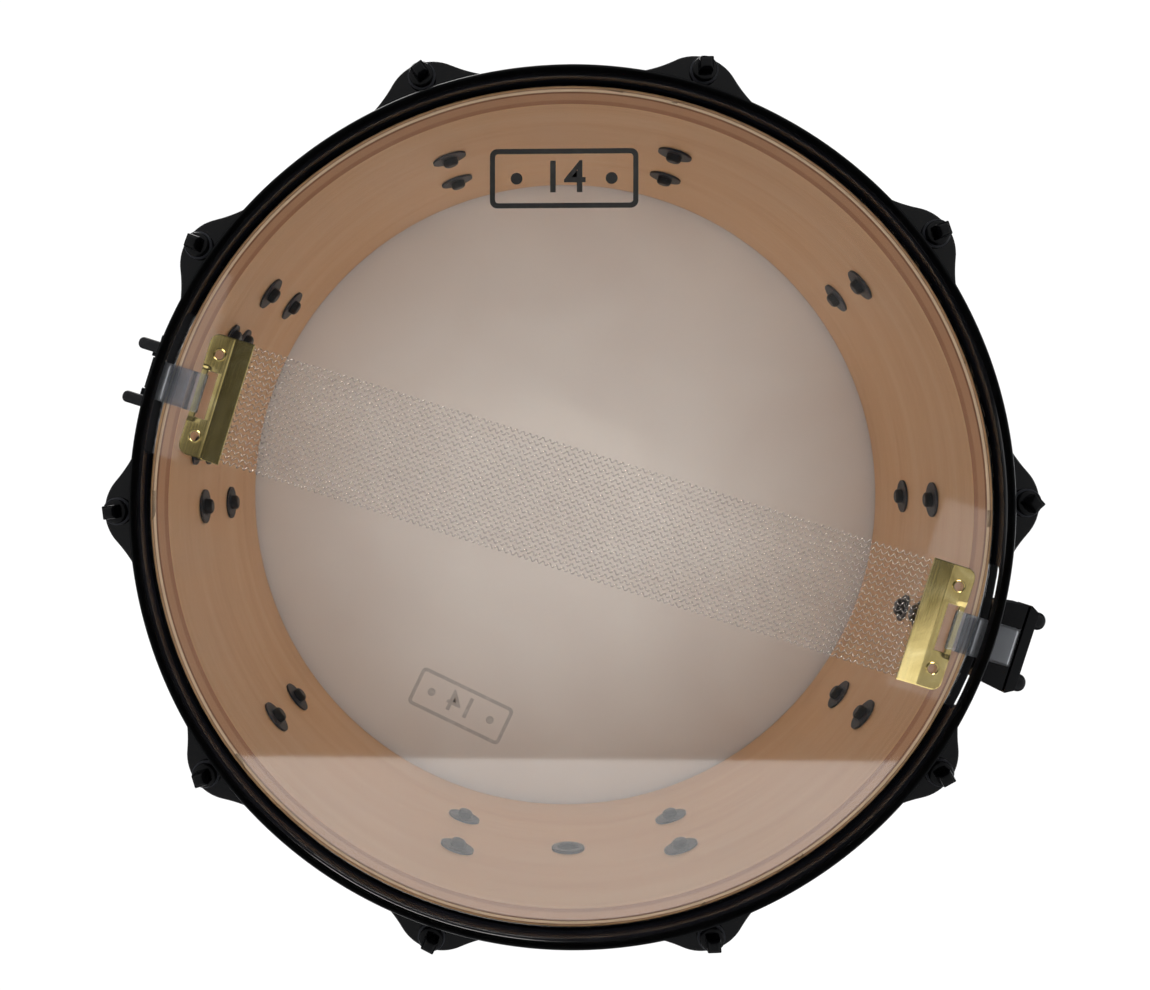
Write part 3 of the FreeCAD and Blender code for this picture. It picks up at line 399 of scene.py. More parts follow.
def coated_film():
    """White sprayed coating on a drum head: a fine sandy texture with faint clouds."""
    p = Paint("coated_film")
    cloud = p.noise(14.0, 5, distortion=0.5)
    speck = p.noise(1500.0, 2)
    wide = p.noise(420.0, 3)
    colour = p.ramp(cloud, [(0.30, (0.76, 0.70, 0.65)), (0.52, (0.79, 0.74, 0.69)),
                            (0.72, (0.82, 0.775, 0.73))])
    colour = p.mix(p.sum("MULTIPLY", p.between(speck, 0.58, 0.72), 0.10), colour, (0.60, 0.57, 0.54, 1))
    relief = p.sum("ADD", speck, p.sum("MULTIPLY", wide, 0.8))
    rough = p.sum("ADD", 0.62, p.sum("MULTIPLY", wide, 0.2))
    return p.done(p.solid(Base_Color=colour, Roughness=rough, Normal=p.bump(relief, 0.00006, 0.5)))


def clear_film():
    """Thin clear polyester: it reflects by angle, and carries a faint haze with a few scuffs."""
    p = Paint("clear_film")
    scuff = p.noise(9.0, 6, distortion=1.2)
    ripple = p.noise(5.0, 1)
    normal = p.bump(ripple, 0.0004, 0.25)
    gloss = p.add("BsdfGlossy", {"Color": (1, 1, 1, 1), "Roughness": 0.035, "Normal": normal}).outputs[0]
    through = p.add("BsdfTransparent", {"Color": (0.985, 0.982, 0.975, 1)}).outputs[0]
    haze = p.add("BsdfDiffuse", {"Color": (0.9, 0.89, 0.87, 1)}).outputs[0]
    shine = p.add("Fresnel", {"IOR": 1.60, "Normal": normal}).outputs[0]
    veil = p.sum("MULTIPLY", p.between(scuff, 0.35, 0.8), 0.008)
    body = p.add("MixShader", {0: veil, 1: through, 2: haze}).outputs[0]
    return p.done(p.add("MixShader", {0: shine, 1: body, 2: gloss}).outputs[0])


def clear_strap():
    """Nearly clear plastic strap with a faint lengthwise drawn texture."""
    p = Paint("clear_strap")
    drawn = p.noise(1.0, 3, p.stretched(20, 900, 60))
    cloud = p.noise(90.0, 3)
    normal = p.bump(drawn, 0.00004, 0.5)
    gloss = p.add("BsdfGlossy", {"Color": (1, 1, 1, 1), "Roughness": 0.16, "Normal": normal}).outputs[0]
    through = p.add("BsdfTransparent", {"Color": (0.93, 0.94, 0.96, 1)}).outputs[0]
    milk = p.add("BsdfDiffuse", {"Color": (0.62, 0.65, 0.70, 1), "Normal": normal}).outputs[0]
    shine = p.add("Fresnel", {"IOR": 1.55, "Normal": normal}).outputs[0]
    cloudy = p.sum("ADD", 0.01, p.sum("MULTIPLY", cloud, 0.025))
    body = p.add("MixShader", {0: cloudy, 1: through, 2: milk}).outputs[0]
    return p.done(p.add("MixShader", {0: shine, 1: body, 2: gloss}).outputs[0])


def brass():
    """Rolled brass plate: brushed along its length, with a little tarnish."""
    p = Paint("brass_plate")
    brushed = p.noise(1.0, 4, p.stretched(1800, 30, 900))
    tarnish = p.noise(70.0, 5, distortion=0.8)
    colour = p.ramp(tarnish, [(0.30, (0.42, 0.32, 0.12)), (0.52, (0.58, 0.46, 0.19)),
                              (0.72, (0.68, 0.56, 0.27))])
    rough = p.sum("ADD", 0.10, p.sum("MULTIPLY", brushed, 0.16))
    return p.done(p.solid(Base_Color=colour, Metallic=1.0, Roughness=rough,
                          Normal=p.bump(brushed, 0.00002, 0.6)))


def bright_steel(name, dark, light, rough, patches):
    """Drawn or plated bright steel with slight patches of dullness."""
    p = Paint(name)
    patch = p.noise(patches, 3)
    fine = p.noise(2400.0, 2)
    colour = p.mix(p.between(patch, 0.35, 0.65), (*dark, 1), (*light, 1))
    roughness = p.sum("ADD", rough, p.sum("MULTIPLY", patch, 0.16))
    return p.done(p.solid(Base_Color=colour, Metallic=1.0, Roughness=roughness,
                          Normal=p.bump(fine, 0.000006, 0.5)))


def rubber_sheet():
    p = Paint("gasket")
    fine = p.noise(1600.0, 4)
    colour = p.ramp(fine, [(0.35, (0.018, 0.018, 0.018)), (0.65, (0.034, 0.034, 0.035))])
    return p.done(p.solid(Base_Color=colour, Roughness=0.75, Normal=p.bump(fine, 0.00005, 0.6)))


def ink(name, colour, faded):
    """Printed ink, worn to a slightly lighter tone in places."""
    p = Paint(name)
    worn = p.between(p.noise(380.0, 5), 0.45, 0.75)
    fine = p.noise(3000.0, 2)
    tone = p.mix(worn, (*colour, 1), (*faded, 1))
    return p.done(p.solid(Base_Color=tone, Roughness=0.6, Specular_IOR_Level=0.15,
                          Normal=p.bump(fine, 0.00001, 0.4)))


PAINTS = {
    "maple_ply": maple(),
    "black_enamel": black_gloss("black_enamel", 0.12, 0, (0.0015, 0.0015, 0.002), 700.0, 0.000004, 0.05),
    "black_casting": black_gloss("black_casting", 0.18, 0.5, (0.002, 0.002, 0.0025), 1100.0, 0.00001, 0.05),
    "black_plating": black_gloss("black_plating", 0.16, 0.25, (0.008, 0.008, 0.009), 900.0),
    "black_rods": black_gloss("black_rods", 0.18, 0, (0.003, 0.003, 0.0035), 1400.0, 0.00001),
    "black_screws": black_gloss("black_screws", 0.30, 0.35, (0.010, 0.010, 0.011), 1600.0, 0.00002),
    "black_washers": black_gloss("black_washers", 0.38, 0.2, (0.035, 0.036, 0.042), 1300.0, 0.00002),
    "flesh_hoop_black": black_gloss("flesh_hoop_black", 0.24, 0.4, (0.002, 0.002, 0.0025), 1000.0),
    "coated_film": coated_film(),
    "clear_film": clear_film(),
    "clear_strap": clear_strap(),
    "brass_plate": brass(),
    "snare_wire": bright_steel("snare_wire", (0.36, 0.33, 0.31), (0.50, 0.47, 0.44), 0.16, 900.0),
    "zinc_nut": bright_steel("zinc_nut", (0.36, 0.37, 0.38), (0.58, 0.58, 0.57), 0.28, 140.0),
    "gasket": rubber_sheet(),
}


def paint(piece, slot):
    piece.data.materials.clear()
    piece.data.materials.append(PAINTS[slot])
    return piece


def fit(piece, slot, body, *nodes):
    """Paints a new piece, sets it riding on its body, and lets it stand for CAD nodes."""
    paint(piece, slot)
    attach(piece, body)
    if nodes:
        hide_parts(*nodes)
    return piece


for subpart in frame["record"]["subparts"]:
    paint(frame["nodes"][subpart["node"]], subpart["material_slot"])


# ---- shell ----


def shell_piece():
    """The ply shell, with bevelled bearing edges and a shallow dip under the snares at each end."""
    inner = (SHELL_IN_R, 4.2)
    crest_in = (SHELL_IN_R + 4.2, 0.0)
    crest_out = (SHELL_OUT_R - 0.8, 0.0)
    outer = (SHELL_OUT_R, 0.8)
    edge = filleted([(SHELL_IN_R, 40, 0), (*inner, 0.5), (*crest_in, 0.4), (*crest_out, 0.5), (*outer, 0.4),
                     (SHELL_OUT_R, 40, 0)], 4)
    segments = 480
    loops = []
    for k in range(segments):
        a = 2 * math.pi * k / segments
        y = SHELL_OUT_R * math.sin(a)
        bed = 0
        if abs(y) < SNARE_BED_HALF_WIDTH:
            bed = SNARE_BED * 0.5 * (1 + math.cos(math.pi * y / SNARE_BED_HALF_WIDTH))
        low = [(r, EDGE_Z + h + bed * (1 - h / 40)) for r, h in edge]
        high = [(r, TOTAL_HEIGHT - EDGE_Z - h) for r, h in reversed(edge)]
        loops.append([(r * math.cos(a), r * math.sin(a), z) for r, z in low + high])
    piece = make_piece("ply_shell", *loft(loops, around=True), sharp=50)
    bore = lathe([(VENT_TUBE_R, 150), (VENT_TUBE_R, 190)], 40)
    level = Matrix.Translation((0, 0, MID_HEIGHT)) @ Matrix.Rotation(math.radians(90), 4, "Y")
    piece = cut(piece, turned(moved(bore, level), VENT_ANGLE), sharp=50)
    return fit(piece, "maple_ply", "root", "shell")


# ---- hoops ----


def flange_reach(degrees):
    """The flange's outer radius at an angle: a plain rim, with a rounded ear at each rod."""
    off = math.radians(abs(degrees % LUG_PITCH - LUG_PITCH / 2))
    tip_r = EAR_CROWN_R - EAR_TIP_R
    flank_r = FLANGE_R + EAR_FLANK_R
    between = EAR_TIP_R + EAR_FLANK_R
    flank_angle = math.acos((flank_r ** 2 + tip_r ** 2 - between ** 2) / (2 * flank_r * tip_r))
    if off >= flank_angle:
        return FLANGE_R
    tip = Vector((tip_r, 0))
    flank = Vector((flank_r * math.cos(flank_angle), flank_r * math.sin(flank_angle)))
    touch = tip + (flank - tip).normalized() * EAR_TIP_R
    if off <= math.atan2(touch.y, touch.x):
        side = tip_r * math.sin(off)
        return tip_r * math.cos(off) + math.sqrt(EAR_TIP_R ** 2 - side ** 2)
    side = flank_r * math.sin(flank_angle - off)
    return flank_r * math.cos(flank_angle - off) - math.sqrt(EAR_FLANK_R ** 2 - side ** 2)


def hoop_piece(name, node, gates):
    """A triple-flanged hoop rolled from one sheet: lip, wall, step, skirt and eared flange."""
    half = SHEET / 2
    segments = 720
    loops = []
    for k in range(segments):
        degrees = 360 * k / segments
        reach = flange_reach(degrees) - half
        line = filleted([(LIP_R - half, half, 0), (WALL_MID_R, half, 1.25), (WALL_MID_R, 13.85, 1.45),
                         (SKIRT_MID_R, 13.85, 1.45), (SKIRT_MID_R, 25.15, 1.3), (reach, 25.15, 0)])
        a = math.radians(degrees)
        loops.append([(p.x * math.cos(a), p.x * math.sin(a), p.y) for p in banded(line, half)])
    piece = make_piece(name, *loft(loops, around=True), sharp=60)
    holes = []
    for angle in LUG_ANGLES:
        holes.append(turned(lathe([(ROD_HOLE_R, 22), (ROD_HOLE_R, 29)], 28, (ROD_CIRCLE_R, 0)), angle))
    cutters = [gathered(*holes)]
    if gates:
        corner = 3.0
        gate = []
        for side in (-1, 1):
            outline = []
            for sy, sz, start in ((1, 0, -90), (1, 1, 0), (-1, 1, 90), (-1, 0, 180)):
                for step in range(7):
                    a = math.radians(start + 15 * step)
                    radius = corner if sz == 0 else 0.01
                    outline.append((sy * (GATE_HALF_WIDTH - radius) + radius * math.cos(a),
                                    (40 if sz else GATE_LIP + radius) + radius * math.sin(a)))
            gate.append(loft([[(side * x, y, z) for y, z in outline] for x in (170, 210)]))
        cutters.append(gathered(*gate))
    piece = cut(piece, *cutters, sharp=50)
    if not gates:
        piece.data.transform(Matrix.Translation((0, 0, TOTAL_HEIGHT * MM)) @ Matrix.Rotation(math.pi, 4, "X"))
    return fit(piece, "black_enamel", "root", node)


# ---- lugs and rods ----


def smoothly(value, low, high):
    share = min(max((value - low) / (high - low), 0), 1)
    return share * share * (3 - 2 * share)


def lug_section(t):
    """A loop round the lug at height t from its middle: a flat pad on the shell, under a rounded barrel."""
    away = abs(t)
    swell = smoothly(away, 3, 17)
    front = 186.4 + (203.1 - 186.4) * swell
    width = 6.4 + 1.9 * swell
    tuck = 0.0
    if away > LUG_HALF_LENGTH - LUG_EDGE:
        tuck = LUG_EDGE - math.sqrt(max(LUG_EDGE ** 2 - (away - LUG_HALF_LENGTH + LUG_EDGE) ** 2, 0))
    front -= tuck + 0.4 * smoothly(away, 24, LUG_HALF_LENGTH)
    width -= tuck
    seat = 177.85
    foot = 9.0 - tuck
    loop = [(seat, -foot), (seat + 1.6, -foot), (seat + 2.6, -foot + 0.7)]
    shoulder = seat + 3.2
    for k in range(25):
        a = math.radians(-90 + 7.5 * k)
        power = 0.78
        y = math.copysign(abs(math.sin(a)) ** power, a) * width
        r = shoulder + abs(math.cos(a)) ** power * (front - shoulder)
        loop.append((r, y))
    loop += [(seat + 2.6, foot - 0.7), (seat + 1.6, foot), (seat, foot)]
    return [(r, y, MID_HEIGHT + t) for r, y in loop]


def lug_pieces():
    """Ten cast double-ended lugs, each with a mouth at both ends where its swivel nut shows."""
    heights = [LUG_HALF_LENGTH - LUG_EDGE * (1 - math.cos(math.radians(15 * k))) for k in range(7)]
    heights += [31.5, 28, 25, 22, 19, 17, 15, 13, 11, 9, 7, 5, 3, 1]
    stations = sorted([-h for h in heights] + heights)
    single = make_piece("lug_pattern", *loft([lug_section(t) for t in stations]), sharp=40)
    mouths = [lathe([(NUT_R, low), (NUT_R, low + 25)], 32, (ROD_CIRCLE_R, 0)) for low in (50, 110)]
    cut(single, gathered(*mouths), sharp=40)
    points = [tuple(v.co / MM) for v in single.data.vertices]
    faces = [tuple(f.vertices) for f in single.data.polygons]
    bpy.data.objects.remove(single)
    piece = make_piece("lug_castings", *gathered(*[turned((points, faces), a) for a in LUG_ANGLES]), sharp=40)
    return fit(piece, "black_casting", "root", "lug_bodies")


def square_loop(half, corner, z):
    loop = []
    for sx, sy, start in ((1, 1, 0), (-1, 1, 90), (-1, -1, 180), (1, -1, 270)):
        for step in range(4):
            a = math.radians(start + 30 * step)
            loop.append((ROD_CIRCLE_R + sx * (half - corner) + corner * math.cos(a),
                         sy * (half - corner) + corner * math.sin(a), z))
    return loop


def rod_shell():
    """A tension rod: a chamfered square head on a round collar, and a shank that ends in a thread."""
    head = [square_loop(half, corner, z) for half, corner, z in (
        (1.3, 0.5, 11.5), (1.5, 0.5, 11.55), (2.6, 0.5, 12.6),
        (2.9, 0.45, 13.3), (2.9, 0.45, 19.0), (2.9, 0.45, 20.6))]
    rim = [(2.6, 20.0), (4.4, 20.1), (5.0, 20.4), (5.25, 20.9), (5.25, 21.9), (5.0, 22.3), (2.6, 22.3)]
    collar = lathe(rim, 40, (ROD_CIRCLE_R, 0))
    shank = [(2.6, 22.0), (2.6, 40.0)]
    z = 40.0
    while z < 70.4:
        shank += [(2.72, z + 0.25), (2.72, z + 0.4), (2.36, z + 0.7), (2.36, z + 0.85)]
        z += 0.9
    shank += [(2.3, 71.0), (1.6, 71.5)]
    return gathered(loft(head), collar, lathe(shank, 24, (ROD_CIRCLE_R, 0)))


def rod_pieces():
    spin = random.Random(4)
    for side in ("batter", "snare"):
        for k, angle in enumerate(LUG_ANGLES, 1):
            twist = Matrix.Rotation(spin.uniform(0, math.pi / 2), 4, "Z")
            own = Matrix.Translation((ROD_CIRCLE_R, 0, 0)) @ twist
            shell = moved(rod_shell(), own @ Matrix.Translation((-ROD_CIRCLE_R, 0, 0)))
            if side == "batter":
                shell = flipped(shell)
            node = "%s_tension_rod_%02d" % (side, k)
            fit(make_piece(node + "_threaded", *turned(shell, angle), sharp=40), "black_rods", node, node)


# ---- snare wires ----


def strand_shell(y, phase, rng):
    """One strand: a springy coil of fine wire, drawn out to its pitch."""
    pitch = 2.9
    coil_r = 0.78
    wire_r = 0.17
    start = -STRAND_END_X + WIRES_TOWARDS_BUTT
    end = STRAND_END_X + WIRES_TOWARDS_BUTT
    per_turn = 12
    sides = 6
    lean = rng.uniform(-0.06, 0.06)
    steps = int((end - start) / pitch * per_turn)
    points = []
    for k in range(steps + 1):
        share = k / steps
        a = 2 * math.pi * k / per_turn + phase
        x = start + (end - start) * share
        sway = lean * math.sin(math.pi * share) + 0.03 * math.sin(9 * math.pi * share + phase * 7)
        centre = Vector((x, y + sway + coil_r * math.sin(a), STRAND_Z + coil_r * math.cos(a)))
        along = Vector((pitch / (2 * math.pi * coil_r), math.cos(a), -math.sin(a))).normalized()
        across = Vector((0, math.sin(a), math.cos(a)))
        up = along.cross(across)
        for side in range(sides):
            b = 2 * math.pi * side / sides
            points.append(tuple(centre + (across * math.cos(b) + up * math.sin(b)) * wire_r))
    faces = []
    for k in range(steps):
        here, there = k * sides, (k + 1) * sides
        for side in range(sides):
            after = (side + 1) % sides
            faces.append((here + side, here + after, there + after, there + side))
    faces.append(tuple(range(sides)))
    faces.append(tuple(range(steps * sides, (steps + 1) * sides)))
    return points, faces


def strand_piece():
    rng = random.Random(11)
    first = -(STRANDS - 1) / 2
    shells = []
    for k in range(STRANDS):
        phase = 0.55 * k + rng.uniform(-0.15, 0.15)
        shells.append(strand_shell((first + k) * STRAND_SPACING, phase, rng))
    coils = make_piece("snare_coils", *gathered(*shells), sharp=80)
    return fit(coils, "snare_wire", "snares", "snare_strands")


def plate_piece(name, node, side):
    """A pressed brass end plate: sloped under the wires, flat outside, its strap bar set back a little."""
    shift = WIRES_TOWARDS_BUTT * side
    xs = [148, 148.5, 149.5, 152, 154.5, 156, 156.6, 157, 157.4, 158, 159.7, 161, 163, 164.3, 165, 166, 167]
    ys = [v * 0.5 - 26.4 for v in range(106)]
    ys[-1] = 26.4

    def low_face(x, y):
        z = 7.9 - 2.0 * smoothly(157.4 - x, 0, 1.2) * min(max((157.2 - x) / 9.2, 0), 1)
        behind = smoothly(x, 162.8, 164.4) * (1 - smoothly(abs(y), 10.2, 12.6))
        return z + 0.55 * behind

    loops = []
    for y in ys:
        low = [(x + shift, y, low_face(x, y)) for x in xs]
        high = [(x + shift, y, low_face(x, y) + 0.8) for x in reversed(xs)]
        loops.append([(px * side, py * side, pz) for px, py, pz in low + high])
    piece = make_piece(name, *loft(loops), sharp=60)

    def placed(shell):
        half_turn = Matrix.Rotation(0 if side > 0 else math.pi, 4, "Z")
        return moved(shell, half_turn @ Matrix.Translation((shift, 0, 0)))

    window = [(159.7, -10.15), (164.3, -10.15), (164.3, 10.15), (159.7, 10.15)]
    hollow = loft([[(x, y, z) for x, y in window] for z in (4, 12)])
    holes = [lathe([(2.0, 4), (2.0, 12)], 32, (161.6, s * 17.9)) for s in (-1, 1)]
    corners = []
    for s in (-1, 1):
        arc = []
        for a in range(0, 91, 9):
            turn = math.radians(a)
            arc.append((PLATE_OUTER_X - PLATE_CORNER + PLATE_CORNER * math.sin(turn),
                        s * (PLATE_HALF_LENGTH - PLATE_CORNER + PLATE_CORNER * math.cos(turn))))
        ring = arc + [(168, s * 22.2), (168, s * 27.5), (162.8, s * 27.5)]
        corners.append(loft([[(x, y, z) for x, y in ring] for z in (4, 12)]))
    cut(piece, placed(gathered(hollow, *holes, *corners)), sharp=40)
    eased(piece, 0.16, 40)
    fit(piece, "brass_plate", "snares", node)
    for s in (-1, 1):
        rim = []
        for k in range(12):
            a = 2 * math.pi * k / 12
            rim.append((2.4 + 0.42 * math.cos(a), 7.72 + 0.36 * math.sin(a)))
        eyelet = placed(lathe(rim, 36, (161.6, s * 17.9), closed=True))
        label = "%s_eyelet_%s" % (name, "a" if s < 0 else "b")
        fit(make_piece(label, *eyelet, sharp=60), "brass_plate", "snares")
    return piece


def ribbon(line, half_width, thickness):
    """A flat strap that follows an (x, z) line, with rounded edges."""
    stations = [half_width * k / 6 for k in range(-5, 6)]
    stations = [-half_width, -half_width + 0.12, *stations, half_width - 0.12, half_width]
    loops = []
    for y in stations:
        slim = 0.55 if abs(y) == half_width else 1.0
        inner = banded(line, thickness / 2 * slim, 4)
        loops.append([(p.x, y, p.y) for p in inner])
    return loft(loops)


def strap_pieces():
    """Clear straps: each loops round its plate's outer bar and runs through the hoop's gate to its clamp."""
    runs = []
    for side in (-1, 1):
        shift = WIRES_TOWARDS_BUTT * side
        bar_in = 164.3 + shift - 0.5
        bar_out = 167.0 + shift
        line = filleted([(176.2, 9.1, 0), (bar_in, 9.3, 0.95), (bar_in, 7.35, 0.95),
                         (bar_out + 0.8, 7.35, 1.5), (bar_out + 3.4, 8.62, 2.0), (176.0, 8.62, 0)])
        shell = ribbon(line, STRAP_HALF_WIDTH, STRAP * 0.9)
        runs.append(shell if side > 0 else turned(shell, 180))
    fit(make_piece("strap_runs", *gathered(*runs), sharp=40), "clear_strap", "snares", "snare_strap_runs")
    butt = filleted([(176.22, 9.1, 0), (178.6, 9.6, 6), (183.4, 14.2, 3.5), (198.9, 18.2, 3.0),
                     (198.9, 35.0, 0)], 8)
    piece = make_piece("strap_butt_drop", *ribbon(butt, STRAP_HALF_WIDTH, STRAP), sharp=40)
    fit(piece, "clear_strap", "root", "snare_strap_butt_drop")
    drop = filleted([(176.22, 9.1, 0), (178.6, 9.6, 6), (183.4, 14.2, 5), (190.5, 30, 8), (190.5, 58, 0)], 8)
    piece = make_piece("strap_strainer_drop", *turned(ribbon(drop, STRAP_HALF_WIDTH, STRAP), 180), sharp=40)
    paint(piece, "clear_strap")
    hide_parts("snare_strap_strainer_drop")
    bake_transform(piece)


# ---- printed marks ----


def frame_loop(width, height, corner, lift=0.0):
    loop = []
    for sx, sy, start in ((1, 1, 0), (-1, 1, 90), (-1, -1, 180), (1, -1, 270)):
        for step in range(7):
            a = math.radians(start + 15 * step)
            loop.append((sx * (width / 2 - corner) + corner * math.cos(a),
                         sy * (height / 2 - corner) + corner * math.sin(a) + lift, 0.0))
    return loop


def mark_piece(name, centre, across, up, width, colours):
    """A plain printed size mark, or a grey painted shadow of one: a squared frame with the head's size in
    inches between two dots.
    """
    height = width * 0.40
    line = width * 0.035
    outer = frame_loop(width, height, width * 0.05)
    inner = frame_loop(width - 2 * line, height - 2 * line, width * 0.022)
    shells = [loft([outer, inner], capped=False)]
    for sx in (-1, 1):
        dot = []
        for k in range(24):
            a = math.radians(15 * k)
            dot.append((width * (sx * 0.32 + 0.04 * math.cos(a)), width * 0.04 * math.sin(a), 0.0))
        shells.append((dot, [tuple(range(24))]))
    letters = bpy.data.curves.new(name + "_figures", "FONT")
    letters.body = "14"
    letters.align_x = "CENTER"
    letters.align_y = "CENTER"
    letters.size = width * 0.30
    letters.offset = width * 0.004
    holder = put(name + "_figures", letters)
    graph = bpy.context.evaluated_depsgraph_get()
    flat = bpy.data.meshes.new_from_object(holder.evaluated_get(graph))
    shells.append(([tuple(v.co) for v in flat.vertices], [tuple(f.vertices) for f in flat.polygons]))
    bpy.data.objects.remove(holder)
    x_axis = Vector(across).normalized()
    y_axis = Vector(up).normalized()
    z_axis = x_axis.cross(y_axis)
    turn = Matrix((x_axis, y_axis, z_axis)).transposed().to_4x4()
    points, faces = moved(gathered(*shells), Matrix.Translation(centre) @ turn)
    mesh = bpy.data.meshes.new(name)
    mesh.from_pydata([[c * MM for c in p] for p in points], [], faces)
    piece = put(name, mesh)
    piece.data.materials.append(ink(name + "_ink", *colours))
    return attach(piece, "root")


# ---- camera, lights and floor ----


def aimed(thing, place, target, up=(0, 0, 1)):
    """Puts a camera or light at a place, looking at a target."""
    back = (Vector(place) - Vector(target)).normalized()
    right = Vector(up).cross(back).normalized()
    top = back.cross(right)
    thing.matrix_world = Matrix.Translation(place) @ Matrix((right, top, back)).transposed().to_4x4()


def soft_light(name, place, target, width, height, radiance, tint=(1, 1, 1), up=(0, 0, 1)):
    lamp = bpy.data.lights.new(name, "AREA")
    lamp.shape = "RECTANGLE"
    lamp.size = width
    lamp.size_y = height
    lamp.energy = radiance * math.pi * width * height
    lamp.color = tint
    holder = put(name, lamp)
    holder.visible_camera = False
    aimed(holder, place, target, up)


VIEW_ROLL = math.radians(17.4)
SIDEWAYS = Vector((math.cos(VIEW_ROLL), -math.sin(VIEW_ROLL), 0))
DOWNWARDS = Vector((math.sin(VIEW_ROLL), math.cos(VIEW_ROLL), 0))


def from_view(right, down, z):
    """A point by how far right and down it lies from the drum's axis, as seen from the snare side."""
    flat = SIDEWAYS * right + DOWNWARDS * down
    return (flat.x, flat.y, z)


def make_camera():
    lens = bpy.data.cameras.new("camera")
    lens.lens = 38.86
    lens.sensor_width = 36
    lens.shift_x = 0.0571
    lens.shift_y = -0.0199
    lens.clip_start = 0.01
    camera = put("camera", lens)
    place = Vector((-0.01424, -0.01944, -0.5111))
    aimed(camera, place, place + Vector((-0.02587, 0.02326, 0.9994)), (-0.29936, -0.95403, 0.01446))
    bpy.context.scene.camera = camera


def make_world():
    """White behind the drum for the camera, soft grey light all round, and a dark room in reflections."""
    world = bpy.data.worlds.new("studio")
    bpy.context.scene.world = world
    world.use_nodes = True
    tree = world.node_tree
    tree.nodes.clear()
    path = tree.nodes.new("ShaderNodeLightPath")
    seen = tree.nodes.new("ShaderNodeBackground")
    seen.inputs["Color"].default_value = (1, 1, 1, 1)
    seen.inputs["Strength"].default_value = 1.05
    around = tree.nodes.new("ShaderNodeBackground")
    around.inputs["Color"].default_value = (0.93, 0.96, 1.0, 1)
    way = tree.nodes.new("ShaderNodeTexCoord")
    axes = tree.nodes.new("ShaderNodeSeparateXYZ")
    level = tree.nodes.new("ShaderNodeMapRange")
    for socket, value in (("From Min", -0.15), ("From Max", 0.15), ("To Min", 1.55), ("To Max", 0.85)):
        level.inputs[socket].default_value = value
    tree.links.new(way.outputs["Generated"], axes.inputs[0])
    tree.links.new(axes.outputs[2], level.inputs["Value"])
    tree.links.new(level.outputs[0], around.inputs["Strength"])
    mirrored = tree.nodes.new("ShaderNodeBackground")
    mirrored.inputs["Color"].default_value = (0.93, 0.96, 1.0, 1)
    mirrored.inputs["Strength"].default_value = 0.03
    room = tree.nodes.new("ShaderNodeMixShader")
    pick = tree.nodes.new("ShaderNodeMixShader")
    out = tree.nodes.new("ShaderNodeOutputWorld")
    tree.links.new(path.outputs["Is Glossy Ray"], room.inputs[0])
    tree.links.new(around.outputs[0], room.inputs[1])
    tree.links.new(mirrored.outputs[0], room.inputs[2])
    tree.links.new(path.outputs["Is Camera Ray"], pick.inputs[0])
    tree.links.new(room.outputs[0], pick.inputs[1])
    tree.links.new(seen.outputs[0], pick.inputs[2])
    tree.links.new(pick.outputs[0], out.inputs[0])


def make_floor():
    """A pale floor, open under the drum for the light from below, that lets views from below through."""
    ring = []
    for radius in (0.1775, 20.0):
        ring.append([(radius * math.cos(math.radians(3 * k)), radius * math.sin(math.radians(3 * k)), -0.0004)
                     for k in range(120)])
    points, faces = loft(ring[::-1], capped=False)
    mesh = bpy.data.meshes.new("floor")
    mesh.from_pydata(points, [], faces)
    if mesh.polygons[0].normal.z < 0:
        mesh.flip_normals()
    floor = put("floor", mesh)
    p = Paint("floor")
    tone = p.mix(p.noise(3.0, 4), (0.78, 0.78, 0.775, 1), (0.82, 0.82, 0.815, 1))
    top = p.solid(Base_Color=tone, Roughness=0.6)
    through = p.add("BsdfTransparent").outputs[0]
    under = p.add("NewGeometry").outputs["Backfacing"]
    floor.data.materials.append(p.done(p.add("MixShader", {0: under, 1: top, 2: through}).outputs[0]))
    floor.visible_transmission = False


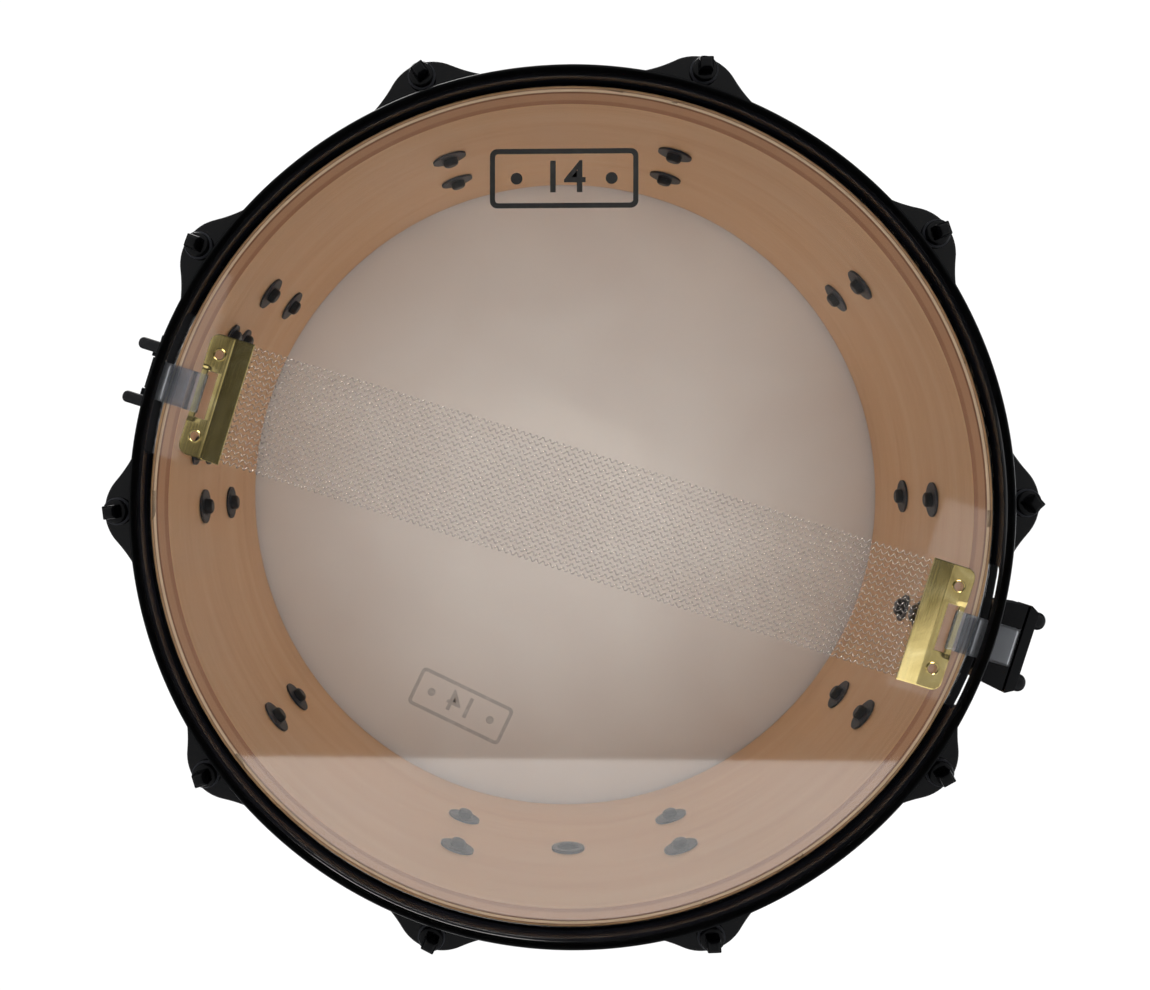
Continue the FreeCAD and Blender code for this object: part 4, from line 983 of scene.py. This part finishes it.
def make_lights():
    middle = (0, 0, 0.09)
    level = tuple(-DOWNWARDS)
    soft_light("key_below", from_view(0.5, -1.25, -1.05), middle, 0.9, 0.7, 34.0, (1.0, 0.965, 0.92))
    for side in (-1, 1):
        spot = 0.45 * side
        soft_light("card_for_plate", (spot, 0, -0.62), (spot, 0, 0), 0.21, 0.18, 0.6, up=(0, 1, 0))
    soft_light("card_below", from_view(0.0, 0.56, -0.70), from_view(0.0, 0.56, 0.0), 1.8, 0.56, 1.7, up=level)
    soft_light("side_below", from_view(-0.9, 0.1, -0.35), middle, 0.3, 0.5, 3.2)
    soft_light("key_above", (-0.75, -0.95, 1.25), middle, 0.9, 0.9, 3.2, (1.0, 0.985, 0.965))
    soft_light("fill_above", (1.3, -0.2, 0.9), middle, 0.8, 0.8, 1.2, (0.96, 0.98, 1.0))
    soft_light("back_above", (-0.2, 1.4, 1.0), middle, 1.0, 0.6, 1.4)


shell_piece()
hoop_piece("snare_side_hoop", "snare_hoop", True)
hoop_piece("batter_side_hoop", "batter_hoop", False)
lug_pieces()
rod_pieces()
strand_piece()
plate_piece("butt_side_plate", "snare_plate_butt_side", 1)
plate_piece("strainer_side_plate", "snare_plate_strainer_side", -1)
strap_pieces()
BLACK_INK = ((0.001, 0.001, 0.001), (0.004, 0.004, 0.004))
# Grey ink for a painted shadow: the batter print's shade through the coated film, seen from inside the drum.
PAINTED_SHADOW_INK = ((0.50, 0.475, 0.455), (0.60, 0.575, 0.55))
mark_piece("snare_head_mark", (-42.6, -131.3, 9.70), SIDEWAYS, -DOWNWARDS, 62.0, BLACK_INK)
BATTER_MARK_AT = (-19.0, 128.5)
BATTER_MARK_ACROSS = (-0.99, -0.14, 0)
BATTER_MARK_UP = (0.14, -0.99, 0)
# The second mark is a grey copy just under the batter film: a painted shadow of the print on top, not a print
# of its own.
for label, z, colours in (("batter_head_mark", 175.31, BLACK_INK),
                          ("batter_mark_painted_shadow", 174.95, PAINTED_SHADOW_INK)):
    mark_piece(label, (*BATTER_MARK_AT, z), BATTER_MARK_ACROSS, BATTER_MARK_UP, 56.0, colours)

make_camera()
make_world()
make_floor()
make_lights()
bpy.context.scene.view_settings.view_transform = "Standard"
